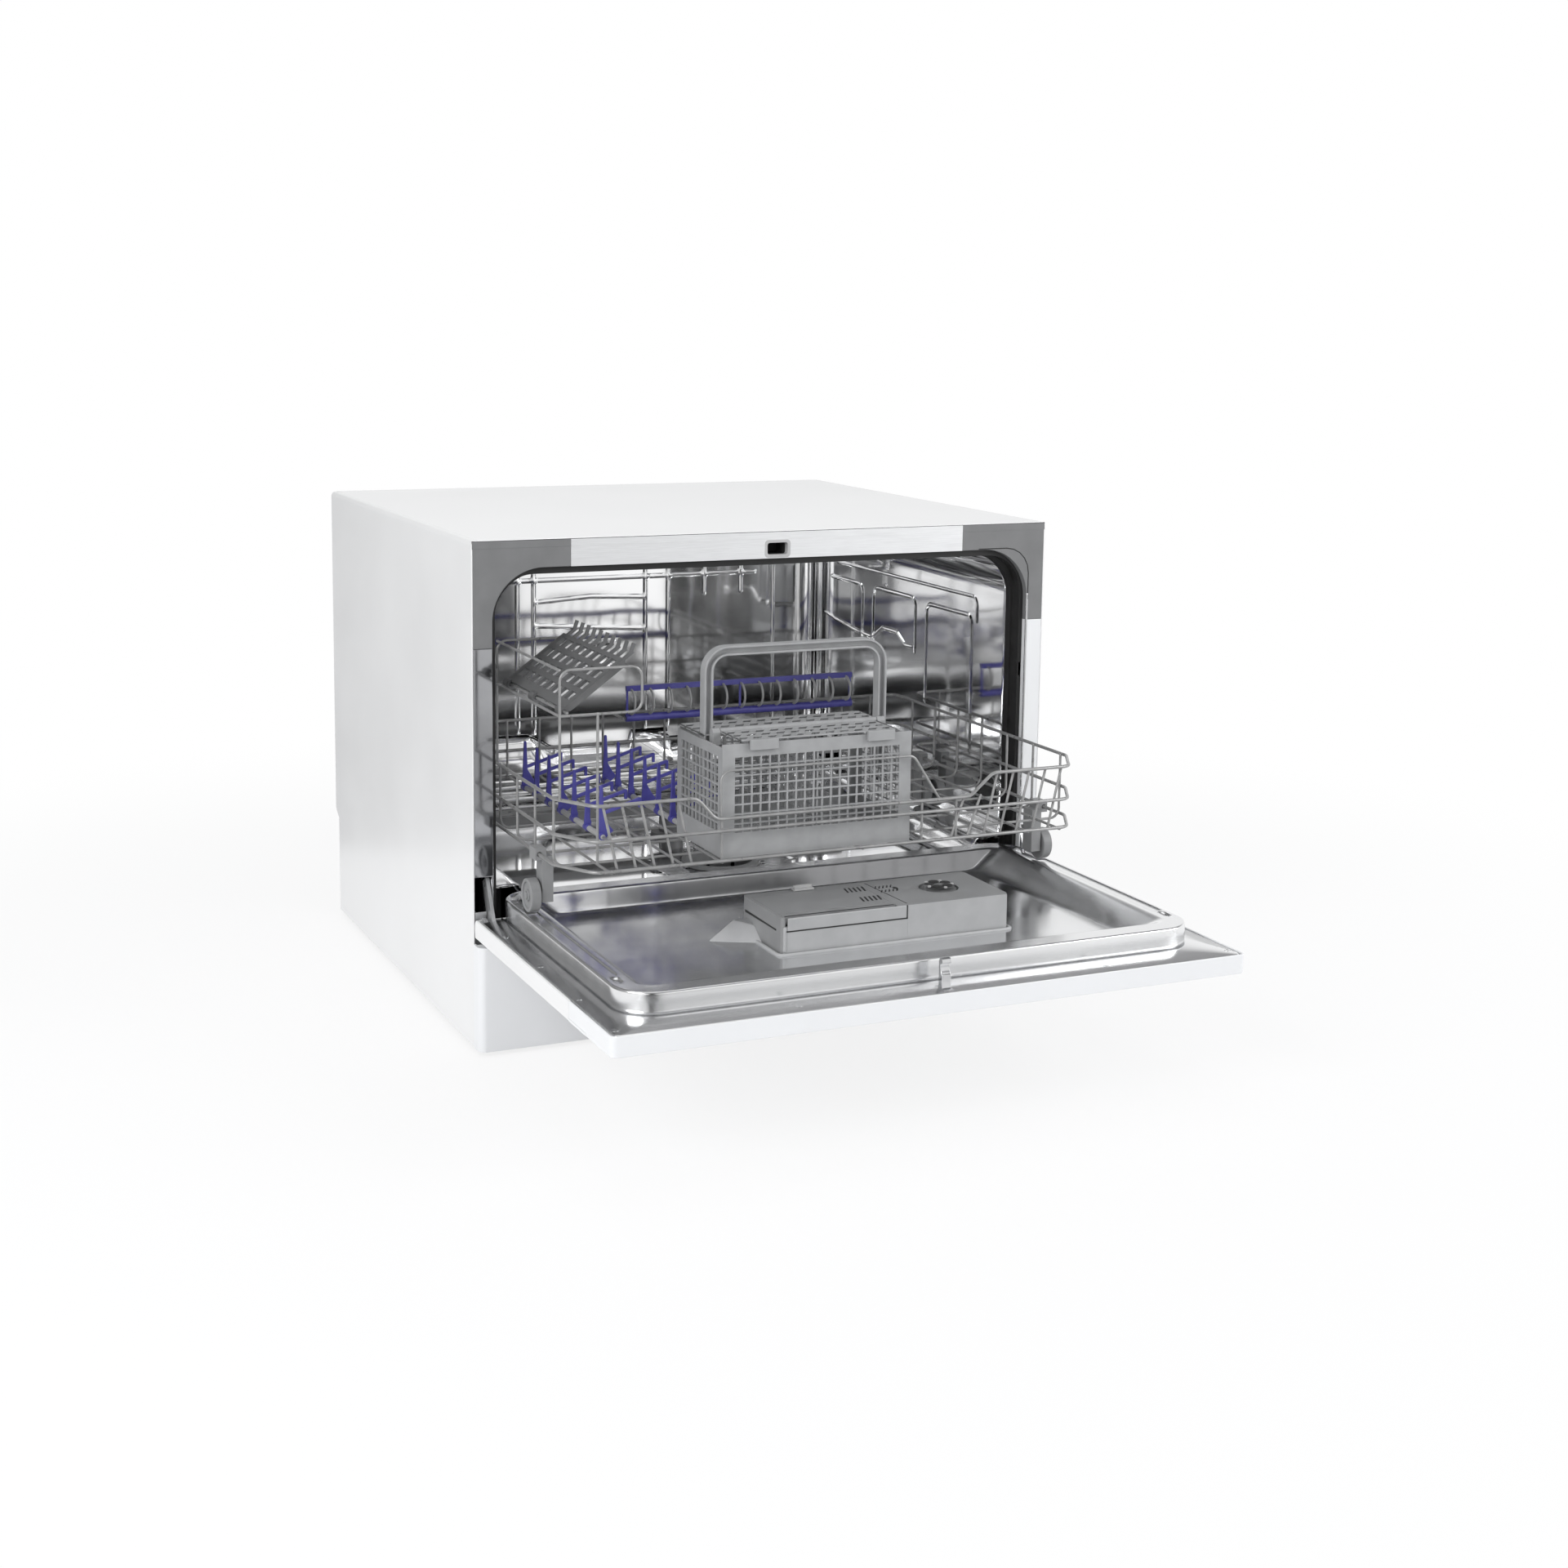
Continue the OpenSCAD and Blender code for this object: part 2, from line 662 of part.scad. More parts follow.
module door_shell_2d(inset) {
  // Side view of the outer panel: rounded where it turns round the hinge axis
  r = hinge_edge_r - inset;
  y1 = hinge_y + r;
  low = door_out_z + inset;
  translate([door_reach_y + inset, low]) square([hinge_y - door_reach_y - inset, door_in_z - inset - low]);
  translate([hinge_y - 1, low + r]) square([y1 - hinge_y + 1, hinge_z - low - r]);
  for (z = [low + r, hinge_z]) translate([hinge_y, z]) circle(r);
}

// Clearance in the door's rear edge for the fixed hinge plates and for the door's own arms
module hinge_notches() both_sides() {
  pin_x(plate_x - 0.5, plate_x + 3.5, hinge_y, hinge_z, 19);
  pin_x(arm_x - 3.3, plate_x, hinge_y, hinge_z, 10);
}

module door_panel() color("white") at_front() difference() {
  intersection() {
    along_x(-door_w / 2, door_w / 2) difference() {
      door_shell_2d(0);
      door_shell_2d(sheet_t);
    }
    box_between([-body_half, fascia_y, 0], [body_half, 50, body_h]);
  }
  box_between([-door_w / 2 + sheet_t, door_reach_y + sheet_t, door_in_z - sheet_t - 0.1],
              [door_w / 2 - sheet_t, hinge_y, door_in_z + 5]);
  hinge_notches();
}

module fascia_outline(inset)
  flange_2d(door_w / 2 + 0.6 - inset, door_reach_y + inset, fascia_y - inset, 6 - inset);

module control_fascia() color("white") at_front() difference() {
  translate([0, 0, door_out_z]) linear_extrude(door_t) fascia_outline(0);
  translate([0, 0, door_out_z + plinth_t]) linear_extrude(door_t) fascia_outline(1.6);
  translate([0, 0, door_out_z + plinth_t]) linear_extrude(door_t)
    translate([-door_w / 2 + 1, fascia_y - 12]) square([door_w - 2, 20]);
  box_between([-body_half, grip_y[1] + 2, 0], [body_half, fascia_y + 1, door_out_z + plinth_t]);
  box_between([-grip_half - 2, grip_y[0] - 2, 0], [grip_half + 2, grip_y[1] + 3, door_out_z + 3]);
  for (x = button_x) translate([x, button_y, 0]) cylinder(h = 200, r = button_r + gap);
  box_between([window_x[0] - gap, button_y - 8 - gap, 0], [window_x[1] + gap, button_y + 8 + gap, 110]);
}

// Rear strip of the fascia's face, behind the buttons and the grip
module fascia_ledge() color("white") at_front()
  box_between([-door_w / 2 - 0.6, grip_y[1] + 2, door_out_z], [door_w / 2 + 0.6, fascia_y, door_out_z + plinth_t]);

grip_half = 62;
grip_y = [door_reach_y + 27, door_reach_y + 53];
button_r = 7;
button_y = door_reach_y + 43;
button_x = [-body_half + 70, body_half - 125, body_half - 70];
window_x = [button_x[0] + 45, button_x[0] + 105];

module handle_cup() color("lightgray") at_front() difference() {
  union() {
    box_between([-grip_half - 2 + gap, grip_y[0] - 2 + gap, door_out_z], [grip_half + 2 - gap, grip_y[1] + 2 - gap, liner_z - 3]);
    box_between([-grip_half - 6, grip_y[0] - 6, door_out_z + plinth_t], [grip_half + 6, grip_y[1] + 6, door_out_z + plinth_t + 1.5]);
  }
  box_between([-grip_half, grip_y[0], 0], [grip_half, grip_y[1], liner_z - 5]);
}

module button(x) at_front() translate([x, button_y, door_out_z]) {
  translate([0, 0, -0.6]) cylinder(h = 6, r = button_r);
  translate([0, 0, plinth_t + 1.9]) cylinder(h = 1.5, r = button_r + 2);
}
module button_power() color("silver") button(button_x[0]);
module button_program() color("silver") button(button_x[1]);
module button_start() color("silver") button(button_x[2]);

module display_window() color([0.1, 0.1, 0.12]) at_front() {
  box_between([window_x[0], button_y - 8, door_out_z], [window_x[1], button_y + 8, door_out_z + plinth_t]);
  box_between([window_x[0] - 4, button_y - 11, door_out_z + plinth_t],
              [window_x[1] + 4, button_y + 11, door_out_z + plinth_t + 1.5]);
}

board_z = door_out_z + 9.3;
module control_board() color("green") at_front() {
  box_between([window_x[0] - 68, button_y - 12, board_z], [window_x[1] + 22, button_y + 12, board_z + 1.6]);
  box_between([window_x[0] + 5, button_y - 6, door_out_z + plinth_t + 1.5], [window_x[1] - 5, button_y + 6, board_z]);
  for (x = [window_x[0] - 64, window_x[1] + 10]) translate([x, button_y, door_out_z + plinth_t]) cylinder(h = board_z - door_out_z - plinth_t, r = 2.5);
}

// Inner tray of the door: flange, ridge, sloping basin, wheel tracks and the ramp by the dispenser

module tray_2d(inset)
  rounded_2d([-tray_half + inset, tray_front + inset], [tray_half - inset, tray_rear - inset], tray_r - inset);

module basin(grow) {
  lo = [-tray_half + ridge_w, tray_front + ridge_w];
  hi = [tray_half - ridge_w, tray_rear - ridge_w];
  top = ridge_z + 1;
  low = basin_z - grow;
  side = basin_slope * 2;
  intersection() {
    along_x(-tray_half, tray_half)
      polygon([[lo[1] - grow, top], [hi[1] + grow, top], [hi[1] - basin_slope + grow, low], [lo[1] + basin_slope - grow, low]]);
    along_y(tray_front, tray_rear)
      polygon([[lo[0] - grow, top], [hi[0] + grow, top], [hi[0] - side + grow, low], [lo[0] + basin_slope - grow, low]]);
    translate([0, 0, low - 1]) linear_extrude(top - low + 2)
      rounded_2d(lo - [grow, grow], hi + [grow, grow], tray_r - ridge_w + 6 + grow);
  }
}

track_w = wheel_t + 1.4;
track_start = tray_r + 6;
module wheel_track(grow) both_sides() {
  box_between([wheel_x - track_w / 2 - grow, tray_front + track_start - grow, ridge_z - 1.2 - grow],
              [wheel_x + track_w / 2 + grow, tray_rear + 1, ridge_z + 3]);
  pin_x(wheel_x - track_w / 2 - grow, wheel_x + track_w / 2 + grow, track_y, track_low + track_r, track_r + grow);
}
track_low = wheel_z - wheel_r - 6.6;

// Outline with its two near corners rounded
module flange_2d(half, y0, y1, r) {
  translate([-half + r, y0]) square([2 * (half - r), y1 - y0]);
  translate([-half, y0 + r]) square([2 * half, y1 - y0 - r]);
  for (x = [-half + r, half - r]) translate([x, y0 + r]) circle(r);
}

module liner_shape() difference() {
  union() {
    translate([0, 0, liner_z - sheet_t]) linear_extrude(sheet_t) flange_2d(door_w / 2 - 2, door_reach_y + 2, hinge_y, 6);
    translate([0, 0, liner_z - sheet_t]) linear_extrude(ridge_z - liner_z + sheet_t) tray_2d(0);
  }
  difference() {
    translate([0, 0, liner_z - sheet_t - 1]) linear_extrude(ridge_z - liner_z + 1) tray_2d(sheet_t);
    basin(sheet_t);
    wheel_track(sheet_t);
    box_between([-body_half, hinge_y - sheet_t, 0], [body_half, 60, door_in_z + sheet_t]);
  }
  basin(0);
  wheel_track(0);
  box_between([-body_half, hinge_y, 0], [body_half, 60, door_in_z]);
}

module door_liner() color("silver") at_front() {
  difference() {
    liner_shape();
    box_between([disp_x + 3, disp_y + 3, 0], [disp_x + disp_w - 3, disp_y + disp_d - 3, ridge_z + 20]);
    both_sides() pin_x(arm_x - 3.3, plate_x + 3.5, hinge_y, hinge_z, 19);
    for (p = screw_places) translate([p[0], p[1], 0]) cylinder(h = 200, r = screw_r + 0.1);
    box_between([slot_x - hook_t / 2 - 1, hook_y - 9, 0], [slot_x + hook_t / 2 + 1, hook_y + 9, 130]);
  }
  deflector();
}

// Pressed wedge that throws water up beside the dispenser
module deflector() intersection() {
  low = basin_z - 0.5;
  top = basin_z + disp_h - 20;
  along_y(disp_y + 3, disp_y + 42)
    polygon([[disp_x - 62, low], [disp_x - 1, low], [disp_x - 1, top], [disp_x - 6, top]]);
  along_x(disp_x - 70, disp_x)
    polygon([[disp_y + 2, low], [disp_y + 43, low], [disp_y + 40, top + 1], [disp_y + 26, top + 1]]);
}

// Hinge arms bolted inside the door, with the tail that stands up behind the front posts
module door_arms() color("silver") at_front() both_sides()
  along_x(arm_x - 3, arm_x) difference() {
    union() {
      translate([hinge_y, hinge_z]) circle(8);
      translate([hinge_y - 90, door_out_z + sheet_t + 0.5]) square([92, 10]);
      polygon([[hinge_y - 7, hinge_z + 3], [hinge_y + 8, hinge_z - 1], [hinge_y + 22, hinge_z + 34],
               [hinge_y + 13, hinge_z + 40]]);
    }
    translate([hinge_y, hinge_z]) circle(hinge_pin_r + fit);
    translate([hinge_y + 16, hinge_z + 33]) circle(2.5);
  }

screw_r = 2.6;
screw_inset = 7.5;
screw_end_y = door_reach_y + 15;
screw_places = [for (side = [-1, 1], y = [hinge_y - 55, hinge_y - 143, hinge_y - 233, screw_end_y])
                  [side * (door_w / 2 - screw_inset), y],
                [-120, screw_end_y + 1], [150, screw_end_y + 1]];
module door_screws() color("silver") at_front()
  for (p = screw_places) translate([p[0], p[1], 0]) difference() {
    union() {
      translate([0, 0, liner_z - sheet_t - 4]) cylinder(h = sheet_t + 4, r = screw_r - 0.8);
      translate([0, 0, liner_z - sheet_t]) cylinder(h = sheet_t + 0.2, r = screw_r);
    }
    translate([-0.4, -2, liner_z - 0.4]) cube([0.8, 4, 2]);
  }

module latch_hook() color("silver") at_front() {
  reach = 24;
  along_x(slot_x - hook_t / 2, slot_x + hook_t / 2) difference() {
    translate([hook_y - hook_h / 2, liner_z - 12]) square([hook_h, reach + 12]);
    translate([hook_y - hook_h / 2 - 1, hinge_z - hinge_y + nose_y[0] - 0.6]) square([3.2, nose_y[1] - nose_y[0] + 1.2]);
  }
  along_x(slot_x - hook_t / 2, slot_x + hook_t / 2)
    translate([hook_y - 8, liner_z - 12]) square([16, 9]);
  box_between([slot_x - 12, hook_y - 8, liner_z - 12], [slot_x + 12, hook_y + 8, liner_z - 10.5]);
}

// Detergent dispenser

// Land behind the detergent lid
lid_back = 10;
module dispenser_body() color("darkgray") at_front() difference() {
  union() {
    along_z(basin_z, disp_top) rounded_2d([disp_x, disp_y], [disp_x + disp_w, disp_y + disp_d], 4);
    box_between([disp_x + 3.3, disp_y + 3.3, door_out_z + sheet_t + 2],
                [disp_x + disp_w - 3.3, disp_y + disp_d - 3.3, basin_z + 1]);
  }
  box_between([disp_x + 3, disp_y + 1.6, disp_top - 4.8], [disp_x + lid_w - 3, disp_y + disp_d - lid_back, disp_top + 1]);
  box_between([disp_x + 3, disp_y - 1, disp_top - 7.2], [disp_x + lid_w - 3, disp_y + 7.4, disp_top + 1]);
  box_between([disp_x + 10, disp_y + 12, door_out_z + 8], [disp_x + lid_w - 10, disp_y + disp_d - 12, disp_top + 1]);
  pin_x(disp_x + 0.8, disp_x + lid_w - 0.8, lid_axis_y, lid_axis_z, 1.5 + fit);
  translate([cap_x, cap_y, disp_top - 4]) cylinder(h = 10, r = 17);
  translate([cap_x, cap_y, disp_top - 16]) cylinder(h = 20, r = 7 + fit);
  for (group = [0, 1], k = [0 : 4])
    translate([disp_x + lid_w + 6 + k * 3.6, disp_y + 46 + group * 12, disp_top - 1.5])
      rotate(-30) cube([1.4, 9, 4], center = true);
  box_between([tab_x[0] - gap, disp_y + disp_d - 6.4, disp_top - 3], [tab_x[1] + gap, disp_y + disp_d - 0.8, disp_top + 1]);
}
tab_x = [-38, -20];

module along_z(z0, z1) translate([0, 0, z0]) linear_extrude(z1 - z0) children();

module dispenser_lid() color("darkgray") at_front() {
  x0 = disp_x + 3 + gap;
  x1 = disp_x + lid_w - 3 - gap;
  difference() {
    box_between([x0, disp_y + 3.2, disp_top - 3], [x1, disp_y + disp_d - lid_back - gap, disp_top]);
    box_between([x0 + 5, disp_y + 12, disp_top - 0.6], [x1 - 5, disp_y + 12.8, disp_top + 1]);
  }
  pin_x(x0, x1, lid_axis_y, lid_axis_z, 2.2);
  pin_x(x0 - 2.4, x1 + 2.4, lid_axis_y, lid_axis_z, 1.5);
}

module rinse_cap() color("dimgray") at_front() translate([cap_x, cap_y, 0]) {
  translate([0, 0, disp_top - 3.7]) cylinder(h = 3, r = 15.5);
  translate([0, 0, disp_top - 14]) cylinder(h = 11, r = 7);
  translate([-14, -2.5, disp_top - 1]) cube([28, 5, 4]);
}

module release_tab() color("lightgray") at_front() {
  y1 = disp_y + disp_d - 3.6;
  box_between([tab_x[0], y1 - 2.4, disp_top - 2.6], [tab_x[1], y1, disp_top + gap + 0.1]);
  box_between([tab_x[0], y1 - 4, disp_top + gap], [tab_x[1], y1 + 2.4, disp_top + 2]);
}

// Wire rack, in panels that are welded together

rack_path_side = [for (z = [low_rail_z, rack_mid_z, rack_top_z]) z];
corner_x = rail_x - 22;
corner_y = rack_front + corner_cut;
upright_ys = [for (y = [corner_y + 6 : 46.8 : rack_rear]) y];

floor_xs = [for (x = [-rail_x + 35 : 32 : rail_x - 29]) x];
module rack_floor() color("gray") at_front() {
  for (x = floor_xs) if (min([for (t = tine_x) abs(x - t)]) > 8)
    rod([x, upright_y, rack_floor_z], [x, rack_rear - 2, rack_floor_z], wire_d);
  for (y = upright_ys)
    rod([-upright_x, y, cross_z], [upright_x, y, cross_z], wire_d);
  // Pivot wires of the tines; the right one starts behind the basket, on a short cross wire
  pin_y(rack_front, rack_rear, tine_x[0], pivot_z, wire_d / 2);
  pin_y(pivot_stop_y - wire_d / 2, rack_rear, tine_x[1], pivot_z, wire_d / 2);
  rod([tine_x[1] - 16, pivot_stop_y, rack_floor_z], [tine_x[1] + 16, pivot_stop_y, rack_floor_z], wire_d);
}

module rack_sides() color("gray") at_front() {
  for (side = [-1, 1]) {
    for (z = rack_path_side) rod([side * rail_x, corner_y, z], [side * rail_x, rack_rear, z], rail_d);
    for (y = upright_ys)
      rod([side * upright_x, y, cross_z], [side * upright_x, y, rack_top_z], wire_d);
  }
}

module rack_front_panel() color("gray") at_front() {
  for (z = [low_rail_z, rack_mid_z]) rod([-corner_x, rack_front, z], [corner_x, rack_front, z], rail_d);
  wire([[-corner_x, rack_front, rack_top_z], [dip_left[0], rack_front, rack_top_z],
        [dip_left[1], rack_front, rack_dip_z], [dip_right[0], rack_front, rack_dip_z],
        [dip_right[1], rack_front, rack_top_z], [corner_x, rack_front, rack_top_z]], rail_d);
  for (side = [-1, 1], k = [0 : 4]) {
    x = side * (corner_x - 6 - k * 18);
    top = abs(x) < 140 ? rack_dip_z : rack_top_z;
    if (abs(x) > 142 || side > 0)
      rod([x, upright_y, top], [x - side * 13, upright_y, cross_z + 2], wire_d);
  }
  for (x = [-109, 75, 108]) rod([x, upright_y, rack_dip_z], [x, upright_y, cross_z + 2], wire_d);
  wire([[-110, upright_y + 0.2, rack_dip_z], [-110, upright_y + 0.2, 260], [66, upright_y + 0.2, 260],
        [92, upright_y + 0.2, rack_dip_z]], wire_d);
}

// Rails across the chamfered corners, a little into the front and side rails that they are welded to
module rack_corners() color("gray") at_front()
  for (side = [-1, 1], z = rack_path_side)
    rod([side * (corner_x - 0.4), rack_front - 0.6, z], [side * (rail_x + 0.4), corner_y + 1.4, z], rail_d);

module rack_rear_panel() color("gray") at_front() {
  for (z = rack_path_side) rod([-rail_x, rack_rear, z], [rail_x, rack_rear, z], rail_d);
  for (x = floor_xs)
    rod([x, rack_rear - 3, rack_floor_z - 1], [x, rack_rear - 3, rack_top_z], wire_d);
}

// Bracket behind, which carries the glass rail
module rail_bracket() color("gray") at_front() {
  rail_ends = [rail_blue_x - 6, rail_blue_x + (loops - 1) * loop_pitch + 12];
  for (x = rail_ends) rod([x, rail_blue_y - 1.6, rack_top_z], [x, rack_rear, rack_top_z], wire_d);
  pin_x(rail_ends[0], rail_ends[1], rail_blue_y, rack_top_z, wire_d / 2);
}

// Plastic carriers clipped to the rack's lower rails, with the wheels' axles
carrier_x = wheel_x - wheel_t / 2 - 1.5;
carrier_t = 9.5;
clip_r = rail_d / 2 + fit;
module wheel_carriers() color("darkgray") at_front()
  for (side = [0, 1], y = [wheel_front_y, wheel_rear_y]) mirror([side, 0, 0]) {
    difference() {
      union() {
        box_between([carrier_x - carrier_t, y - 10, wheel_z - 5], [carrier_x, y + 5.5, low_rail_z + 5]);
        box_between([carrier_x - carrier_t, y - 10, low_rail_z - 5], [rail_x + 3.5, y + 5.5, low_rail_z + 5]);
      }
      pin_y(y - 20, y + 20, rail_x, low_rail_z, clip_r);
      box_between([carrier_x - carrier_t - 1, y - 11, low_rail_z - 2.4], [carrier_x - 3.5, y + 6, low_rail_z + 6]);
    }
    pin_x(carrier_x - 1, wheel_x + wheel_t / 2 + 0.6, y, wheel_z, axle_r);
    pin_x(carrier_x - 0.1, carrier_x + 1.2, y, wheel_z, axle_r + 3);
  }

module rack_wheel(side, y) color("darkgray") at_front()
  translate([side * wheel_x, y, wheel_z]) rotate([0, 90, 0]) difference() {
    translate([0, 0, -wheel_t / 2]) cylinder(h = wheel_t, r = wheel_r);
    translate([0, 0, -wheel_t]) cylinder(h = 2 * wheel_t, r = axle_r + fit);
    translate([0, 0, side * wheel_t / 2]) rotate_extrude()
      translate([axle_r + 2, -2]) square([wheel_r - axle_r - 5, 4]);
  }
module wheel_front_left() rack_wheel(-1, wheel_front_y);
module wheel_front_right() rack_wheel(1, wheel_front_y);
module wheel_rear_left() rack_wheel(-1, wheel_rear_y);
module wheel_rear_right() rack_wheel(1, wheel_rear_y);

// Cutlery basket

// Wall with a mesh of square windows, drawn from its lower left corner
module mesh_wall_2d(w, low, high) difference() {
  square([w, high]);
  columns = floor((w - 14) / mesh_pitch);
  rows = floor((high - low - 12) / mesh_pitch);
  start = (w - columns * mesh_pitch + mesh_rib) / 2;
  for (i = [0 : columns - 1], j = [0 : rows - 1])
    translate([start + i * mesh_pitch, low + j * mesh_pitch]) square(mesh_pitch - mesh_rib);
}

basket_band = 16;
basket_cover_t = 3;
basket_post = 8;
module cutlery_basket() color("gray") at_front() translate([basket_x, basket_y, basket_z])
  for (y = [0, basket_d - basket_t])
    translate([0, y + basket_t, 0]) rotate([90, 0, 0]) linear_extrude(basket_t)
      mesh_wall_2d(basket_w, basket_band, basket_h);

module basket_cross_walls() color("gray") at_front() translate([basket_x, basket_y + basket_t, basket_z])
  for (x = [0, basket_w / 2, basket_w - basket_t])
    translate([x, 0, 0]) rotate([90, 0, 90]) linear_extrude(basket_t)
      mesh_wall_2d(basket_d - 2 * basket_t, basket_band, basket_h - basket_cover_t);

module basket_floor() color("gray") at_front() translate([basket_x, basket_y, basket_z]) difference() {
  for (x = [[basket_t, basket_w / 2], [basket_w / 2 + basket_t, basket_w - basket_t]])
    box_between([x[0], basket_t, 6], [x[1], basket_d - basket_t, 6 + basket_t]);
  for (i = [0 : 9], j = [0, 1])
    translate([8 + i * 16 + (i > 4 ? 6 : 0), 9 + j * 42, 5]) cube([6, 36, 5]);
}

// Fixed rear half of the slotted cover, with the lugs and pins that carry the lid
module basket_top() color("gray") at_front() translate([basket_x, basket_y, basket_z]) {
  difference() {
    box_between([0, basket_d / 2 - 5, basket_h - basket_cover_t], [basket_w, basket_d - basket_t, basket_h]);
    for (i = [0 : 9], j = [0, 1])
      translate([14 + i * 14.8, basket_d / 2 + 10 + j * 17, basket_h - 5]) cube([8, 11, 8]);
    for (x = [[-1, basket_t + basket_post], [basket_w - basket_t - basket_post, basket_w + 1]])
      box_between([x[0], basket_d / 2 - 6, basket_h - 5], [x[1], basket_d / 2 + 5, basket_h + 1]);
  }
  for (x = [[basket_t, lid_ends[0] - gap], [lid_ends[1] + gap, basket_w - basket_t]])
    box_between([x[0], lid_hinge_y - 4, basket_h - 8], [x[1], lid_hinge_y + 4, basket_h + 5.4]);
  for (x = [lid_ends[0] - 4, lid_ends[1] - 4.7])
    pin_x(x, x + 8.7, lid_hinge_y, basket_h + lid_hinge_h, 1.2);
}

// Handle over the middle
module basket_arch() color("gray") at_front() translate([basket_x, handle_y - 5, basket_z]) {
  for (x = [basket_t, basket_w - basket_t - basket_post])
    translate([x, 0, basket_h - 40]) cube([basket_post, 10, handle_h + 32]);
  translate([basket_t, 0, basket_h + handle_h - 8]) cube([basket_w - 2 * basket_t, 10, 8]);
}

lid_ends = [14, basket_w - 14];
lid_hinge_y = basket_d / 2 - 9;
lid_hinge_h = 3;
module basket_lid() color("gray") at_front() translate([basket_x, basket_y, rim_z]) {
  x0 = lid_ends[0];
  x1 = lid_ends[1];
  difference() {
    union() {
      box_between([x0, -1, gap], [x1, lid_hinge_y, gap + 2.4]);
      for (x = [44, basket_w - 44]) box_between([x - 10, -4, -6], [x + 10, -gap - 0.2, gap + 2.4]);
      pin_x(x0, x1, lid_hinge_y, lid_hinge_h, 2.6);
    }
    for (end = [x0 - 1, x1 - 6]) pin_x(end, end + 7, lid_hinge_y, lid_hinge_h, 1.2 + fit);
    for (i = [0 : 8], j = [0, 1])
      translate([x0 + 8 + i * 15, 5 + j * 15, -2]) cube([8, 10, 8]);
  }
}

// Raised wire tier on the left with the cup shelf

module cup_cradle() color("gray") at_front() {
  y0 = shelf_y - 8;
  y1 = shelf_y + shelf_len + 8;
  x0 = -upright_x;
  x1 = -167;
  for (z = cradle_z) rod([x0, y0, z], [x0, y1, z], wire_d);
  for (y = [y0, y1]) {
    wire([[x0, y, cradle_z[0]], [x1, y, cradle_z[0]], [x1, y, cradle_z[1]], [x0, y, cradle_z[1]]], wire_d);
    rod([x0, y, rack_top_z], [x0, y, cradle_z[1]], wire_d);
  }
  rod([floor_xs[0], y0, rack_floor_z], [floor_xs[0], y0, cradle_z[0]], wire_d);
  pin_y(y0, y1, shelf_x, shelf_z, wire_d / 2);
}

module cup_shelf() color("dimgray") at_front()
  translate([shelf_x, shelf_y, shelf_z]) rotate([0, -shelf_tilt, 0]) difference() {
    union() {
      translate([1, 0, 0]) cube([shelf_w - 14, shelf_len, 2.6]);
      for (y = [0, shelf_len / 2 - 6, shelf_len - 12]) translate([0, y, 0]) rotate([-90, 0, 0]) cylinder(h = 12, r = 4);
      for (k = [0 : 9]) translate([shelf_w - 14, 4 + k * (shelf_len - 12) / 9, 0]) {
        translate([-1, -1.3, 0]) cube([12, 2.6, 2.6]);
        translate([9, -1.3, 0]) rotate([0, -35, 0]) cube([9, 2.6, 2.6]);
      }
      for (y = [0, shelf_len - 3]) translate([4, y, -3]) cube([shelf_w - 18, 3, 4]);
    }
    translate([0, -1, 0]) rotate([-90, 0, 0]) cylinder(h = shelf_len + 2, r = wire_d / 2 + fit);
    for (y = [12, shelf_len / 2 + 6]) translate([-6, y + gap, -6]) cube([7.4, shelf_len / 2 - 18 - 2 * gap, 12]);
    for (i = [0 : 3], j = [0 : 7])
      translate([10 + i * 14, 8 + j * 17, -2]) cube([9, 12, 8]);
  }

module glass_rail() color("darkslateblue") at_front() {
  reach = (loops - 1) * loop_pitch;
  top = 31;
  difference() {
    union() {
      pin_x(rail_blue_x - 3, rail_blue_x + reach + 9, rail_blue_y, rack_top_z, 3.6);
      box_between([rail_blue_x - 3, rail_blue_y - 2, rack_top_z + top - 5],
                  [rail_blue_x + reach + 9, rail_blue_y + 1.2, rack_top_z + top]);
      for (k = [0 : loops - 1]) translate([rail_blue_x + k * loop_pitch + 2, 0, 0]) {
        box_between([-1.2, rail_blue_y - 1, rack_top_z + 2], [1.2, rail_blue_y + 1, rack_top_z + top - 4]);
        translate([0, rail_blue_y, rack_top_z + top / 2]) intersection() {
          rotate([0, 90, 0]) difference() {
            cylinder(h = 2.4, r = 13, center = true);
            cylinder(h = 4, r = 10.6, center = true);
          }
          translate([-2, -20, -14]) cube([4, 20.5, 28]);
        }
      }
    }
    pin_x(rail_blue_x - 20, rail_blue_x + reach + 20, rail_blue_y, rack_top_z, wire_d / 2 + fit);
  }
}

// Row of tines that folds about one of the rack's wires
module tine_row(x) color("slateblue") at_front() difference() {
  union() {
    pin_y(tine_y - 5.6, tine_y + (tines - 1) * tine_pitch + 5.6, x, pivot_z, 3.4);
    for (k = [0 : tines - 1]) along_y(tine_y + k * tine_pitch - 1.3, tine_y + k * tine_pitch + 1.3) {
      translate([x, pivot_z])
        polygon([[-8, 0], [8, 0], [5, 16], [1.4, tine_h], [-1.4, tine_h], [-5, 16]]);
      translate([x, pivot_z]) polygon([[0, 18], [34, 27], [34, 22], [36.5, 22], [36.5, 31], [0, 22.5]]);
    }
  }
  pin_y(tine_y - 20, tine_y + tines * tine_pitch, x, pivot_z, wire_d / 2 + fit);
}
module tine_row_left() tine_row(tine_x[0]);
module tine_row_right() tine_row(tine_x[1]);

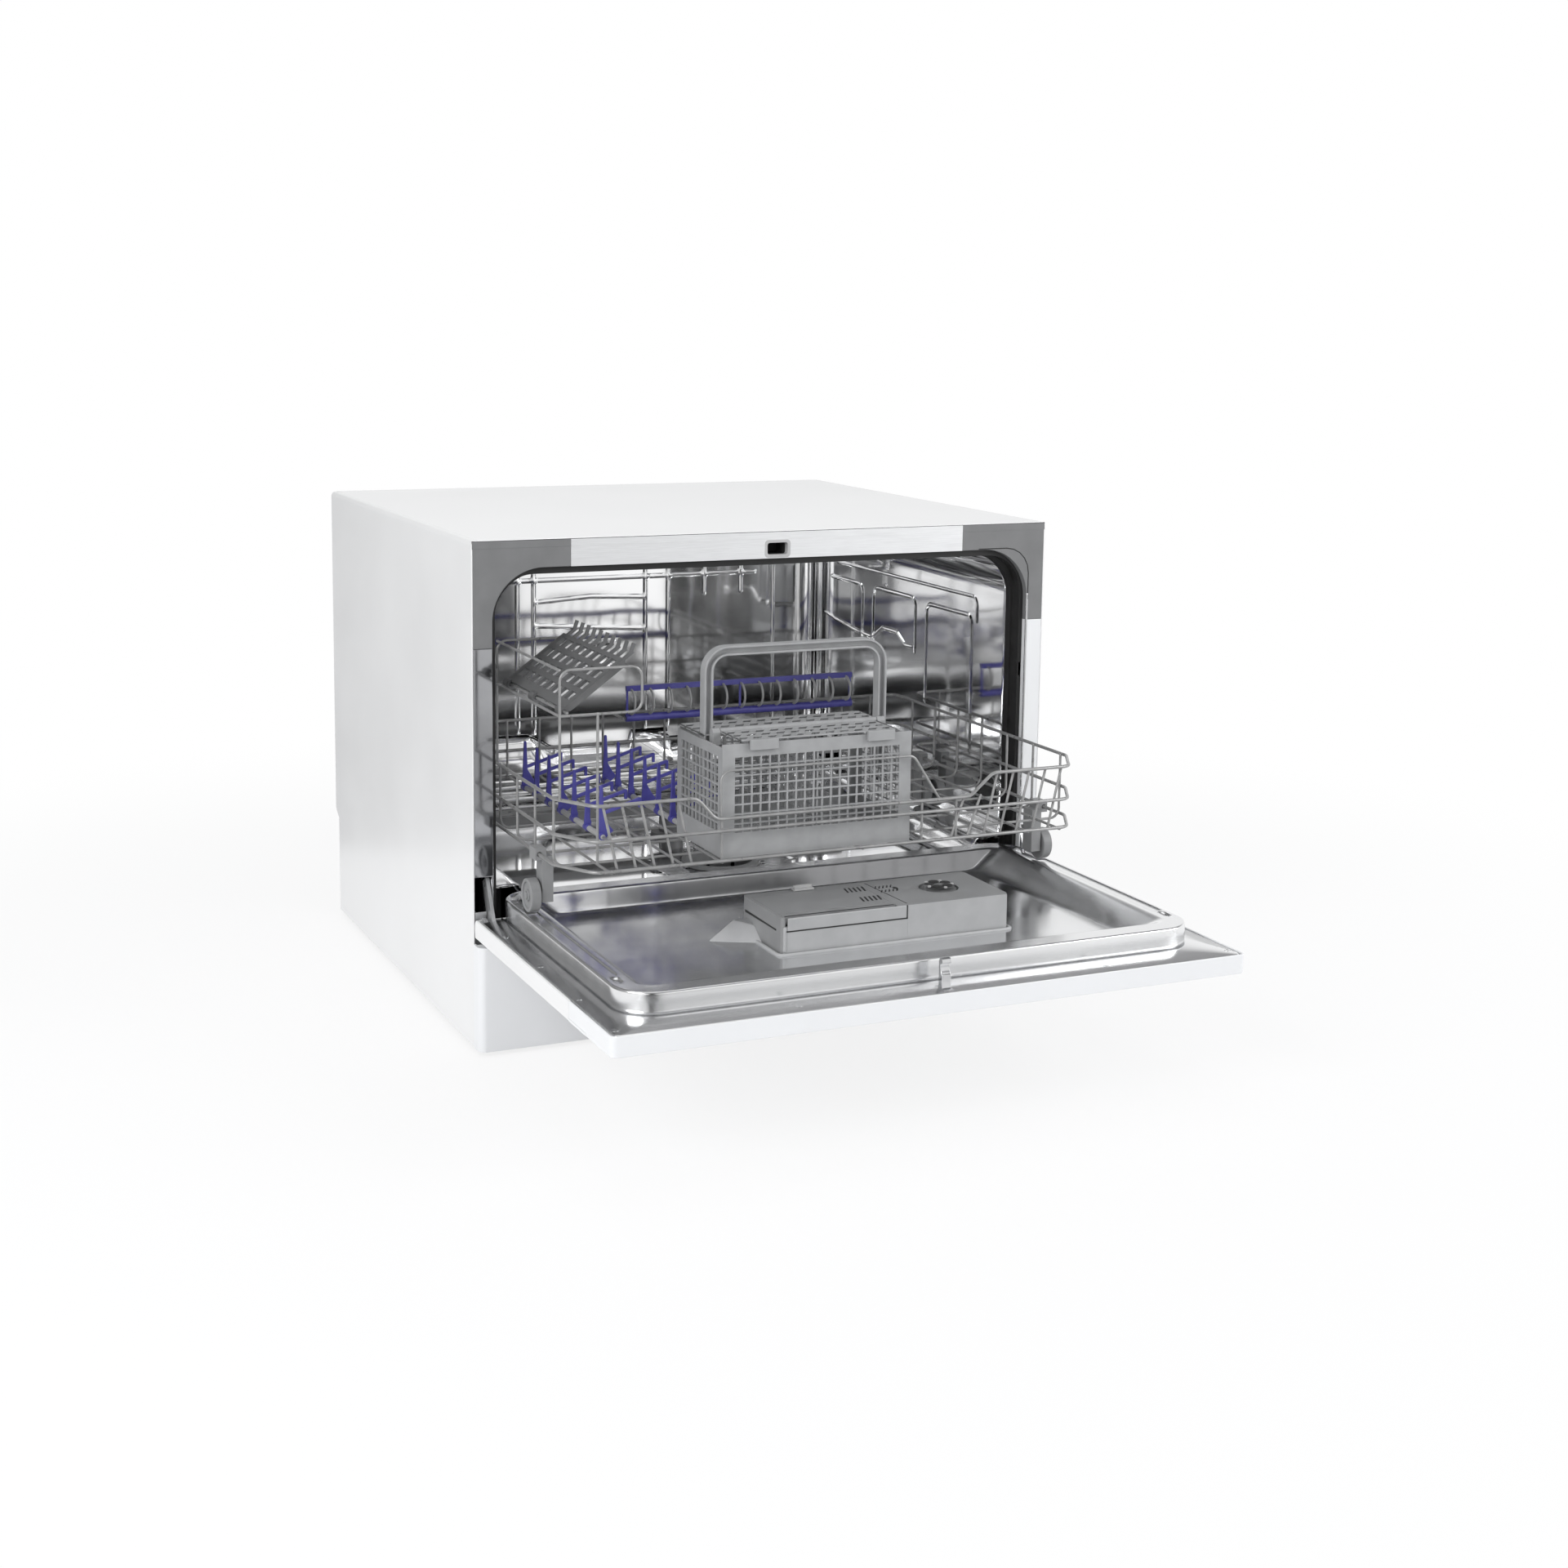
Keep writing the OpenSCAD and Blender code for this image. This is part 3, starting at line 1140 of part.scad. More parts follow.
top_panel();
side_panel_left();
side_panel_right();
rear_panel();
base_tray();
plinth();
feet();
frame_strip();
corner_brackets();
front_post_left();
front_post_right();
tub();
door_seal();
sill_seal();
hinge_brackets();
rack_guides();
sump();
filter_plate();
filter_cup();
wash_pump();
drain_pump();
heater();
inlet_valve();
cord_gland();
spray_post();
spray_arm();
latch_housing();
latch_catch();
door_panel();
control_fascia();
fascia_ledge();
door_liner();
door_arms();
door_screws();
latch_hook();
handle_cup();
button_power();
button_program();
button_start();
display_window();
control_board();
dispenser_body();
dispenser_lid();
rinse_cap();
release_tab();
rack_floor();
rack_sides();
rack_front_panel();
rack_corners();
rack_rear_panel();
rail_bracket();
wheel_carriers();
wheel_front_left();
wheel_front_right();
wheel_rear_left();
wheel_rear_right();
cutlery_basket();
basket_cross_walls();
basket_floor();
basket_top();
basket_arch();
basket_lid();
cup_cradle();
cup_shelf();
glass_rail();
tine_row_left();
tine_row_right();
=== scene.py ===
import bpy, bmesh, math, json
from mathutils import Vector, Matrix


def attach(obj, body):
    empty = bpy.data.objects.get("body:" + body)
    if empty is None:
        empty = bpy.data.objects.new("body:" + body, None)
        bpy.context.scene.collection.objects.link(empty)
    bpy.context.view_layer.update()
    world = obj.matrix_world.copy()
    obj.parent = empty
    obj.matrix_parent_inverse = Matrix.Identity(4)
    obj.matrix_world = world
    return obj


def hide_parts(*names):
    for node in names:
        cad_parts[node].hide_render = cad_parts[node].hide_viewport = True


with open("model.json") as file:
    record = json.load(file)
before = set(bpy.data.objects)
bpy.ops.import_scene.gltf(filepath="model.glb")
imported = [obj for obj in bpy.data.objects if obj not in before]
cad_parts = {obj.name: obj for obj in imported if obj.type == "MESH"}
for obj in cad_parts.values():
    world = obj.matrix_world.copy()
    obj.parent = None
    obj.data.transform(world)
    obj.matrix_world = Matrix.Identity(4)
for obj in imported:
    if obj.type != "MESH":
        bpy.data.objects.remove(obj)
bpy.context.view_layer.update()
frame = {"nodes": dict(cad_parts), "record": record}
NODES = frame["nodes"]
MM = 0.001
SHIFT = -0.07525        # the front plane in the part's own frame, metres


def P(x, y, z):
    """A point measured in millimetres from the front plane, the middle and the worktop."""
    return Vector((x * MM, y * MM + SHIFT, z * MM))


# ---------------------------------------------------------------- materials

MAT = {}


def put(node, **values):
    """Sets a shader node's inputs; an underscore in a name stands for a space."""
    for name, value in values.items():
        node.inputs[name.replace("_", " ")].default_value = value
    return node


def material(name, dark, light, rough=(0.35, 0.45), metal=0.0, scale=40.0, stretch=(1, 1, 1), bump=0.1, grain=600.0,
             depth=0.00006, coat=0.0, coat_rough=0.1, wave=None):
    """Principled shader whose colour, roughness and surface come from noise fields in object space."""
    m = MAT[name] = bpy.data.materials.new(name)
    m.use_nodes = True
    nd, ln = m.node_tree.nodes, m.node_tree.links
    bsdf = put(nd["Principled BSDF"], Metallic=metal, Coat_Weight=coat, Coat_Roughness=coat_rough)

    def noise(vector, size, detail):
        n = put(nd.new("ShaderNodeTexNoise"), Scale=size, Detail=detail)
        ln.new(vector, n.inputs["Vector"])
        return n.outputs["Fac"]

    def relief(height, strength, distance):
        n = put(nd.new("ShaderNodeBump"), Strength=strength, Distance=distance)
        ln.new(height, n.inputs["Height"])
        return n
    where = nd.new("ShaderNodeTexCoord").outputs["Object"]
    drawn = put(nd.new("ShaderNodeMapping"), Scale=stretch)
    ln.new(where, drawn.inputs["Vector"])
    cloud = noise(drawn.outputs["Vector"], scale, 4.0)
    ramp = nd.new("ShaderNodeValToRGB")
    for e, at, colour in zip(ramp.color_ramp.elements, (0.3, 0.72), (dark, light)):
        e.position, e.color = at, (*colour, 1)
    ln.new(cloud, ramp.inputs["Fac"])
    ln.new(ramp.outputs["Color"], bsdf.inputs["Base Color"])
    sheen = put(nd.new("ShaderNodeMapRange"), From_Min=0.3, From_Max=0.7, To_Min=rough[0], To_Max=rough[1])
    ln.new(cloud, sheen.inputs["Value"])
    ln.new(sheen.outputs["Result"], bsdf.inputs["Roughness"])
    fine = relief(noise(drawn.outputs["Vector"], grain, 3.0), bump, depth)
    if wave:
        slow = relief(noise(where, wave[0], 1.0), wave[2], wave[1])
        ln.new(slow.outputs["Normal"], fine.inputs["Normal"])
    ln.new(fine.outputs["Normal"], bsdf.inputs["Normal"])


def grey(v, tint=(1, 1, 1)):
    return tuple(v * t for t in tint)


COOL = (0.985, 0.995, 1.01)
material("cabinet_white", grey(0.80), grey(0.83), rough=(0.3, 0.4), scale=9, bump=0.12, grain=900, depth=0.00003,
         coat=0.25, coat_rough=0.18)
material("plastic_white", grey(0.80, COOL), grey(0.82, COOL), rough=(0.28, 0.36), scale=14, bump=0.1, grain=1500,
         depth=0.00002, coat=0.15)
material("back_grey", grey(0.50), grey(0.57), rough=(0.45, 0.6), scale=30, bump=0.2, grain=700)
material("base_plastic", grey(0.035), grey(0.05), rough=(0.55, 0.7), scale=60, bump=0.3, grain=1200)
material("rubber_black", grey(0.008), grey(0.018), rough=(0.5, 0.68), scale=90, bump=0.3, grain=1500)
material("strip_grey", grey(0.72, COOL), grey(0.80, COOL), rough=(0.3, 0.42), metal=0.85, scale=60, bump=0.12,
         stretch=(1, 30, 30), grain=300, depth=0.00004)
material("bracket_grey", grey(0.165, COOL), grey(0.195, COOL), rough=(0.4, 0.5), scale=40, bump=0.2, grain=1600,
         depth=0.00003)
material("steel_inside", (0.93, 0.935, 0.94), (0.975, 0.975, 0.98), rough=(0.05, 0.09), metal=1.0, scale=7, bump=0.03,
         grain=420, depth=0.00003, wave=(12, 0.0018, 0.2))
material("steel_door", (0.83, 0.835, 0.845), (0.90, 0.905, 0.91), rough=(0.17, 0.24), metal=1.0, scale=6,
         stretch=(1, 6, 6), bump=0.05, grain=260, depth=0.00003)
material("steel_fittings", (0.60, 0.605, 0.615), (0.70, 0.705, 0.715), rough=(0.12, 0.22), metal=1.0, scale=60,
         bump=0.08, grain=700, depth=0.00003)
material("hinge_steel", (0.56, 0.565, 0.575), (0.66, 0.665, 0.675), rough=(0.3, 0.4), metal=0.7, scale=50, bump=0.08,
         grain=600, depth=0.00003)
material("post_steel", (0.38, 0.385, 0.40), (0.45, 0.455, 0.47), rough=(0.06, 0.09), metal=1.0, scale=30, bump=0.03,
         grain=500, depth=0.00002)
material("guide_dark", grey(0.016), grey(0.028), rough=(0.42, 0.55), scale=60, bump=0.25, grain=1500)
material("plastic_grey", grey(0.235, COOL), grey(0.275, COOL), rough=(0.36, 0.48), scale=70, bump=0.25, grain=1900,
         depth=0.00004)
material("dispenser_grey", grey(0.23, COOL), grey(0.27, COOL), rough=(0.34, 0.46), scale=70, bump=0.22, grain=1900,
         depth=0.00004)
material("dispenser_front", grey(0.40, COOL), grey(0.44, COOL), rough=(0.34, 0.46), scale=70, bump=0.22, grain=1900,
         depth=0.00004)
material("basket_grey", grey(0.32, COOL), grey(0.37, COOL), rough=(0.4, 0.52), scale=80, bump=0.25, grain=1900,
         depth=0.00004)
material("plastic_mid", grey(0.13, COOL), grey(0.165, COOL), rough=(0.4, 0.52), scale=70, bump=0.25, grain=1700,
         depth=0.00004)
material("plastic_dark", grey(0.095, COOL), grey(0.13, COOL), rough=(0.38, 0.5), scale=80, bump=0.25, grain=1700,
         depth=0.00004)
material("plastic_light", grey(0.42), grey(0.48), rough=(0.34, 0.44), scale=60, bump=0.2, grain=1500)
material("wire_grey", grey(0.27), grey(0.35), rough=(0.26, 0.38), metal=0.35, scale=120, bump=0.15, grain=1200,
         depth=0.00005, coat=0.3, coat_rough=0.2)
material("blue_plastic", (0.07, 0.066, 0.33), (0.11, 0.105, 0.44), rough=(0.32, 0.44), scale=80, bump=0.2, grain=1700,
         depth=0.00004, coat=0.1)
material("display_dark", grey(0.004), grey(0.009), rough=(0.08, 0.14), scale=20, bump=0.03, grain=900, coat=0.6,
         coat_rough=0.04)
material("board_green", (0.006, 0.06, 0.02), (0.012, 0.11, 0.035), rough=(0.35, 0.5), scale=180, bump=0.3, grain=1500)
material("motor_dark", grey(0.022), grey(0.04), rough=(0.4, 0.6), scale=50, bump=0.3, grain=900)

SLOTS = {
    "cabinet_white": "top_panel side_panel_left side_panel_right door_panel",
    "plastic_white": "plinth front_post_right control_fascia fascia_ledge inlet_valve",
    "back_grey": "rear_panel",
    "base_plastic": "base_tray sump latch_housing",
    "rubber_black": "feet door_seal sill_seal cord_gland",
    "strip_grey": "frame_strip",
    "post_steel": "front_post_left",
    "hinge_steel": "hinge_brackets door_arms",
    "bracket_grey": "corner_brackets",
    "steel_inside": "tub",
    "steel_door": "door_liner",
    "steel_fittings": "filter_plate heater door_screws latch_hook latch_catch button_power button_program "
                      "button_start",
    "guide_dark": "rack_guides",
    "plastic_grey": "filter_cup spray_post spray_arm wheel_carriers wheel_front_left wheel_front_right "
                    "wheel_rear_left wheel_rear_right",
    "dispenser_grey": "dispenser_body dispenser_lid",
    "basket_grey": "cutlery_basket basket_cross_walls basket_floor basket_top basket_arch basket_lid",
    "plastic_mid": "rinse_cap",
    "plastic_dark": "cup_shelf",
    "plastic_light": "handle_cup release_tab",
    "wire_grey": "rack_floor rack_sides rack_front_panel rack_corners rack_rear_panel rail_bracket cup_cradle",
    "blue_plastic": "glass_rail tine_row_left tine_row_right",
    "display_dark": "display_window",
    "board_green": "control_board",
    "motor_dark": "wash_pump drain_pump",
}
LOOK = {node: slot for slot, nodes in SLOTS.items() for node in nodes.split()}
BODY = {node: body for body, nodes in frame["record"]["behaviour"]["bodies"].items() for node in nodes}


for name, o in NODES.items():
    o.data.materials.clear()
    o.data.materials.append(MAT[LOOK[name]])


# ---------------------------------------------------------------- piece helpers

def link(name, data):
    o = bpy.data.objects.new(name, data)
    bpy.context.scene.collection.objects.link(o)
    return o


def add(name, bm, body, look, *stands_for, smooth=40):
    """Links a piece, makes it ride on its body and gives it its finish."""
    me = bpy.data.meshes.new(name)
    bm.normal_update()
    bm.to_mesh(me)
    bm.free()
    o = link(name, me)
    me.materials.append(MAT[look])
    if smooth:
        for p in me.polygons:
            p.use_smooth = True
        if smooth < 180:
            me.set_sharp_from_angle(angle=math.radians(smooth))
    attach(o, body)
    if stands_for:
        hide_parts(*stands_for)
    return o


def bevel(o, width, segments=2):
    b = o.modifiers.new("bevel", "BEVEL")
    b.width = width * MM
    b.segments = segments
    b.limit_method = "ANGLE"
    b.angle_limit = math.radians(35)
    b.use_clamp_overlap = True
    b.harden_normals = True
    return o


def solid(name, bm, body, look, *stands_for, smooth=40, width=0.5, segments=2):
    """A closed piece: faces outward, edges broken."""
    outward(bm)
    bevel(add(name, bm, body, look, *stands_for, smooth=smooth), width, segments)


def softened(node, width, segments):
    """A copy of a node with its edges broken, standing for it."""
    bm = bmesh.new()
    bm.from_mesh(NODES[node].data)
    bmesh.ops.remove_doubles(bm, verts=bm.verts, dist=2e-6)
    bmesh.ops.dissolve_limit(bm, angle_limit=math.radians(0.6), verts=bm.verts, edges=bm.edges)
    o = add(node + "_soft", bm, BODY[node], LOOK[node], node, smooth=35)
    bevel(o, width, segments)


def outward(bm):
    bmesh.ops.recalc_face_normals(bm, faces=bm.faces)


def fillet(points, r, steps=5, closed=False):
    """Rounds the corners of a polyline."""
    n = len(points)
    out = []
    for i, p in enumerate(points):
        if not closed and i in (0, n - 1):
            out.append(p.copy())
            continue
        a, c = points[(i - 1) % n], points[(i + 1) % n]
        u, w = (a - p), (c - p)
        lu, lw = u.length, w.length
        u, w = u / lu, w / lw
        ang = u.angle(w)
        if ang > math.radians(176):
            out.append(p.copy())
            continue
        t = min(r / math.tan(ang / 2), lu * 0.49, lw * 0.49)
        rr = t * math.tan(ang / 2)
        mid = p + (u + w).normalized() * (rr / math.sin(ang / 2))
        s, e = p + u * t - mid, p + w * t - mid
        full = s.angle(e)
        for k in range(steps + 1):
            f = k / steps
            out.append(mid + (s * math.sin((1 - f) * full) + e * math.sin(f * full)) / math.sin(full))
    return out


# Rounded end of a wire: how far from its tip, and how thick, in radii
END = [(0.15, 0.55), (0.4, 0.9), (1, 1)]


def sweep(bm, path, radius, sides=10, closed=False):
    """A round wire along a path, with rounded ends."""
    n = len(path)
    tang = []
    for i in range(n):
        a = path[(i - 1) % n] if closed or i else path[i]
        b = path[(i + 1) % n] if closed or i < n - 1 else path[i]
        tang.append((b - a).normalized())
    ref = Vector((0, 0, 1)) if abs(tang[0].z) < 0.9 else Vector((1, 0, 0))
    side = tang[0].cross(ref).normalized()
    rings = []

    def ring(c, s, t, r):
        up = s.cross(t).normalized()
        return [bm.verts.new(c + (s * math.cos(a) + up * math.sin(a)) * r)
                for a in (2 * math.pi * k / sides for k in range(sides))]
    for i, p in enumerate(path):
        t = tang[i]
        side = (side - t * side.dot(t)).normalized()
        if not closed and i == 0:
            rings += [ring(p + t * radius * f, side, t, radius * w) for f, w in END]
        elif not closed and i == n - 1:
            rings += [ring(p - t * radius * f, side, t, radius * w) for f, w in reversed(END)]
        else:
            rings.append(ring(p, side, t, radius))
    pairs = list(zip(rings, rings[1:]))
    for a, b in pairs:
        for k in range(sides):
            bm.faces.new((a[k], a[(k + 1) % sides], b[(k + 1) % sides], b[k]))
    if closed:
        a, b = rings[-1], rings[0]
        best = min(range(sides), key=lambda s: sum((a[k].co - b[(k + s) % sides].co).length for k in range(sides)))
        for k in range(sides):
            bm.faces.new((a[k], a[(k + 1) % sides], b[(k + 1 + best) % sides], b[(k + best) % sides]))
    else:
        bm.faces.new(list(reversed(rings[0])))
        bm.faces.new(rings[-1])


def wires(name, body, look, runs, stands_for=(), sides=10):
    bm = bmesh.new()
    for pts, d, r, closed in runs:
        sweep(bm, fillet([P(*p) for p in pts], r * MM, closed=closed), d / 2 * MM, sides, closed)
    outward(bm)
    return add(name, bm, body, look, *stands_for, smooth=180)


def extrude_profile(bm, pts, axis, lo, hi):
    """A prism from an outline given in the two other axes."""
    def at(p, t):
        return {"x": P(t, p[0], p[1]), "y": P(p[0], t, p[1]), "z": P(p[0], p[1], t)}[axis]
    a = [bm.verts.new(at(p, lo)) for p in pts]
    b = [bm.verts.new(at(p, hi)) for p in pts]
    n = len(pts)
    bm.faces.new(a)
    bm.faces.new(list(reversed(b)))
    for i in range(n):
        bm.faces.new((a[(i + 1) % n], a[i], b[i], b[(i + 1) % n]))


def prism(name, body, look, pts, axis, lo, hi, width, segments=3, stands_for=()):
    bm = bmesh.new()
    extrude_profile(bm, pts, axis, lo, hi)
    outward(bm)
    return bevel(add(name, bm, body, look, *stands_for, smooth=35), width, segments)


def polar(cx, cy, r, degrees):
    a = math.radians(degrees)
    return cx + r * math.cos(a), cy + r * math.sin(a)


def arc2(cx, cy, r, a0, a1, n=8):
    return [polar(cx, cy, r, a0 + (a1 - a0) * k / n) for k in range(n + 1)]


def rect(x0, y0, x1, y1):
    return [(x0, y0), (x1, y0), (x1, y1), (x0, y1)]


def disc(cx, cy, r):
    return arc2(cx, cy, r, 0, 330, 11)


def ease(t):
    t = max(0.0, min(1.0, t))
    return t * t * (3 - 2 * t)


def seg_dist(px, py, line):
    best = 1e9
    for (ax, ay), (bx, by) in zip(line, line[1:]):
        dx, dy = bx - ax, by - ay
        t = ((px - ax) * dx + (py - ay) * dy) / (dx * dx + dy * dy)
        t = max(0.0, min(1.0, t))
        best = min(best, math.hypot(px - ax - t * dx, py - ay - t * dy))
    return best


def fillet2(pts, r):
    return [(v.x, v.y) for v in fillet([Vector((a, b, 0)) for a, b in pts], r, 5)]


# ---------------------------------------------------------------- cabinet and everything whose shape the solids carry

# Width and segments of the edges each node is given
SOFT = {
    (0.2, 2): "door_screws",
    (0.3, 2): "filter_plate display_window release_tab",
    (0.4, 2): "door_arms",
    (0.5, 2): "side_panel_left side_panel_right rear_panel hinge_brackets filter_cup latch_housing door_panel "
              "cup_shelf",
    (0.5, 3): "button_power button_program button_start dispenser_lid",
    (0.6, 2): "frame_strip corner_brackets front_post_left front_post_right handle_cup",
    (0.6, 3): "rinse_cap",
    (0.7, 2): "wheel_carriers",
    (0.7, 3): "control_fascia",
    (0.8, 2): "base_tray drain_pump inlet_valve cord_gland spray_post",
    (0.8, 3): "door_seal rack_guides",
    (0.9, 3): "top_panel wheel_front_left wheel_front_right wheel_rear_left wheel_rear_right",
    (1.0, 2): "sill_seal sump",
    (1.2, 3): "plinth feet",
    (1.4, 4): "dispenser_body",
    (1.5, 3): "wash_pump heater",
    (2.0, 4): "spray_arm",
}
for (width, segs), nodes in SOFT.items():
    for node in nodes.split():
        softened(node, width, segs)

# Front frame carried up to the roof: bright in the middle, grey beside it, with the roof's thin white edge over it
for tag, lo, hi, look in (("left", -274.4, -188.0, "bracket_grey"), ("middle", -188.0, 188.0, "strip_grey"),
                          ("right", 188.0, 274.4, "bracket_grey")):
    prism("frame_rise_" + tag, "cabinet", look, rect(-0.12, 430.6, 1.25, 436.8), "x", lo, hi, 0.1, 1)
prism("roof_shadow_line", "cabinet", "rubber_black", rect(-0.1, 436.8, 1.2, 437.2), "x", -274.4, 274.4, 0.05, 1)
# Bright edge of the opening beside the seal, round its upper right corner
wires("opening_trim", "cabinet", "steel_fittings", [([(258.0, 0.75, 150), (258.0, 0.75, 372)], 2.3, 4, False)])
wires("opening_line", "cabinet", "rubber_black",
      [([(258.4, 0.2, 366), (258.4, 0.2, 414.4), (205, 0.2, 414.4)], 1.1, 38, False)], sides=8)
for tag, x in (("left", -273.3), ("right", 263.4)):
    prism("hinge_cover_" + tag, "cabinet", "hinge_steel",
          [(0.6, 122), (1.2, 122), (1.2, 118), (5.2, 110), (5.2, 90), (4.6, 90), (4.6, 109.8), (0.6, 117.6)],
          "x", x, x + 9.9, 0.2, 2)
prism("seal_clip", "cabinet", "plastic_light", rect(253.4, 6, 257.2, 17), "z", 293, 307, 0.8, 3)


# ---------------------------------------------------------------- tub

TUB_HALF, TUB_TOP, TUB_R, TUB_BACK = 252.0, 410.0, 41.0, 445.0


def line_pts(a, b, step):
    n = max(1, round(math.dist(a, b) / step))
    return [(a[0] + (b[0] - a[0]) * k / n, a[1] + (b[1] - a[1]) * k / n) for k in range(n)]


def tub_outline():
    right = [(0, 112)] + line_pts((0.1, 112), (210, 112), 12)[1:]
    right += arc2(210, 118, 6, -90, -30, 3)
    right += line_pts((216, 116), (224, 132), 5)[1:]
    right += [(226, 134.3), (229, 134.7)] + line_pts((229, 134.7), (247, 134.7), 5)[1:]
    right += arc2(248.6, 138.1, 3.4, -90, 0, 5)
    right += line_pts((252, 145), (252, TUB_TOP - TUB_R), 3.2)
    right += arc2(TUB_HALF - TUB_R, TUB_TOP - TUB_R, TUB_R, 0, 90, 16)
    right += line_pts((TUB_HALF - TUB_R - 5, TUB_TOP), (0, TUB_TOP), 12)
    right.append((0, TUB_TOP))
    left = [(-x, z) for x, z in reversed(right[1:-1])]
    return right + left


SIDE_RIBS = [fillet2(line, 9) for line in (
    [(385, 358), (80, 358), (80, 335)],
    [(398, 341), (323, 341), (323, 286)],
    [(298, 286), (298, 341), (205, 341), (205, 286)],
    [(181, 240), (181, 339), (90, 339), (88, 205)],
    [(430, 302), (340, 290), (298, 288), (275, 301), (244, 301), (225, 290), (204, 291)],
)]
BACK_RIBS = [fillet2(line, 8) for line in (
    [(52, 176), (52, 380)], [(78, 180), (78, 380)], [(-91, 180), (-91, 380)], [(-73, 180), (-73, 380)],
    [(120, 322), (120, 388)], [(163, 322), (163, 388)], [(202, 170), (202, 384)], [(-202, 170), (-202, 384)],
    [(-222, 343), (180, 343)], [(-70, 320), (-10, 324), (52, 321)], [(-70, 295), (-12, 291), (52, 287)],
)]


def pressed(us, vs, lines, rise, width):
    """Height of rounded ribs along the lines, at the points of a grid that are near them."""
    near = {}
    reach = 3.2 * width
    for line in lines:
        for a, b in zip(line, line[1:]):
            for i, u in enumerate(us):
                if min(a[0], b[0]) - reach < u < max(a[0], b[0]) + reach:
                    for j, v in enumerate(vs):
                        if min(a[1], b[1]) - reach < v < max(a[1], b[1]) + reach:
                            near[i, j] = min(near.get((i, j), 1e9), seg_dist(u, v, [a, b]))
    return {k: rise * math.exp(-(d / width) ** 2) for k, d in near.items()}


def press_plate(name, us, vs, heights, at, corner=14.0, fade=36.0):
    """Pressed middle of a tub wall: a thin sheet whose border sinks into the wall."""
    bm = bmesh.new()
    grid = []
    for i, u in enumerate(us):
        row = []
        for j, v in enumerate(vs):
            du, dv = min(u - us[0], us[-1] - u), min(v - vs[0], vs[-1] - v)
            edge = corner - math.hypot(corner - du, corner - dv) if du < corner and dv < corner else min(du, dv)
            h = -0.3 + 0.6 * ease(edge / fade) + heights.get((i, j), 0.0)
            row.append(bm.verts.new(at(u, v, h)) if edge > -2 else None)
        grid.append(row)
    for a, b in zip(grid, grid[1:]):
        for j in range(len(vs) - 1):
            quad = (a[j], b[j], b[j + 1], a[j + 1])
            if None not in quad:
                bm.faces.new(quad)
    bmesh.ops.delete(bm, geom=[v for v in bm.verts if not v.link_faces], context="VERTS")
    outward(bm)
    o = add(name, bm, "cabinet", "steel_inside", smooth=180)
    inward = (at(us[0], vs[0], 1) - at(us[0], vs[0], 0))
    if sum(p.normal.dot(inward) * p.area for p in o.data.polygons) < 0:
        o.data.flip_normals()
    s = o.modifiers.new("wall", "SOLIDIFY")
    s.thickness = 0.4 * MM
    s.offset = -1
    return o


def steps(lo, hi, step):
    n = round((hi - lo) / step)
    return [lo + (hi - lo) * k / n for k in range(n + 1)]


def build_tub():
    outline = tub_outline()
    n = len(outline)
    round_r = 26.0
    ys = [28.0, 28.6]
    y = 31.0
    while y < TUB_BACK - round_r:
        ys.append(y)
        y += 3.4
    rings = []
    bm = bmesh.new()

    def ring(y, s):
        return [bm.verts.new(P(x * s, y, 262 + (z - 262) * s)) for x, z in outline]
    # mouth flange behind the front frame, then the walls, the rounded turn and the back
    lip = [bm.verts.new(P(x / TUB_HALF * 257.5 if abs(x) > 100 else x, 28, z + (4 if z > 400 else 0)))
           for x, z in outline]
    rings.append(lip)
    for y in ys:
        rings.append(ring(y, 1.0))
    for k in range(1, 9):
        a = math.pi / 2 * k / 8
        rings.append(ring(TUB_BACK - round_r + round_r * math.sin(a), 1 - round_r * (1 - math.cos(a)) / TUB_HALF))
    s_end = 1 - round_r / TUB_HALF
    for k in range(1, 24):
        rings.append(ring(TUB_BACK, s_end * (1 - k / 24)))
    for a, b in zip(rings, rings[1:]):
        for k in range(n):
            bm.faces.new((a[k], b[k], b[(k + 1) % n], a[(k + 1) % n]))
    bm.faces.new(rings[-1])
    holes = [(P(0, 112, 0), 0.057), (P(0, 237, 0), 0.0125)]
    gone = [f for f in bm.faces if f.calc_center_median().z < 0.1135 and
            any((Vector(f.calc_center_median().xy) - c.xy).length < r for c, r in holes)]
    bmesh.ops.delete(bm, geom=gone, context="FACES")
    o = add("tub_pressed", bm, "cabinet", "steel_inside", "tub", smooth=55)
    s = o.modifiers.new("wall", "SOLIDIFY")
    s.thickness = 1.0 * MM
    s.offset = -1


build_tub()

wall_y, wall_z = steps(52, 417, 1.7), steps(148, 367, 1.7)
side_heights = pressed(wall_y, wall_z, SIDE_RIBS, 2.5, 2.3)
press_plate("tub_press_right", wall_y, wall_z, side_heights, lambda u, v, h: P(TUB_HALF - h, u, v))
press_plate("tub_press_left", wall_y, wall_z, side_heights, lambda u, v, h: P(h - TUB_HALF, u, v))
back_x, back_z = steps(-222, 222, 2.2), steps(150, 392, 2.2)
press_plate("tub_press_back", back_x, back_z, pressed(back_x, back_z, BACK_RIBS, 2.0, 2.6),
            lambda u, v, h: P(u, TUB_BACK - h, v), corner=18.0)

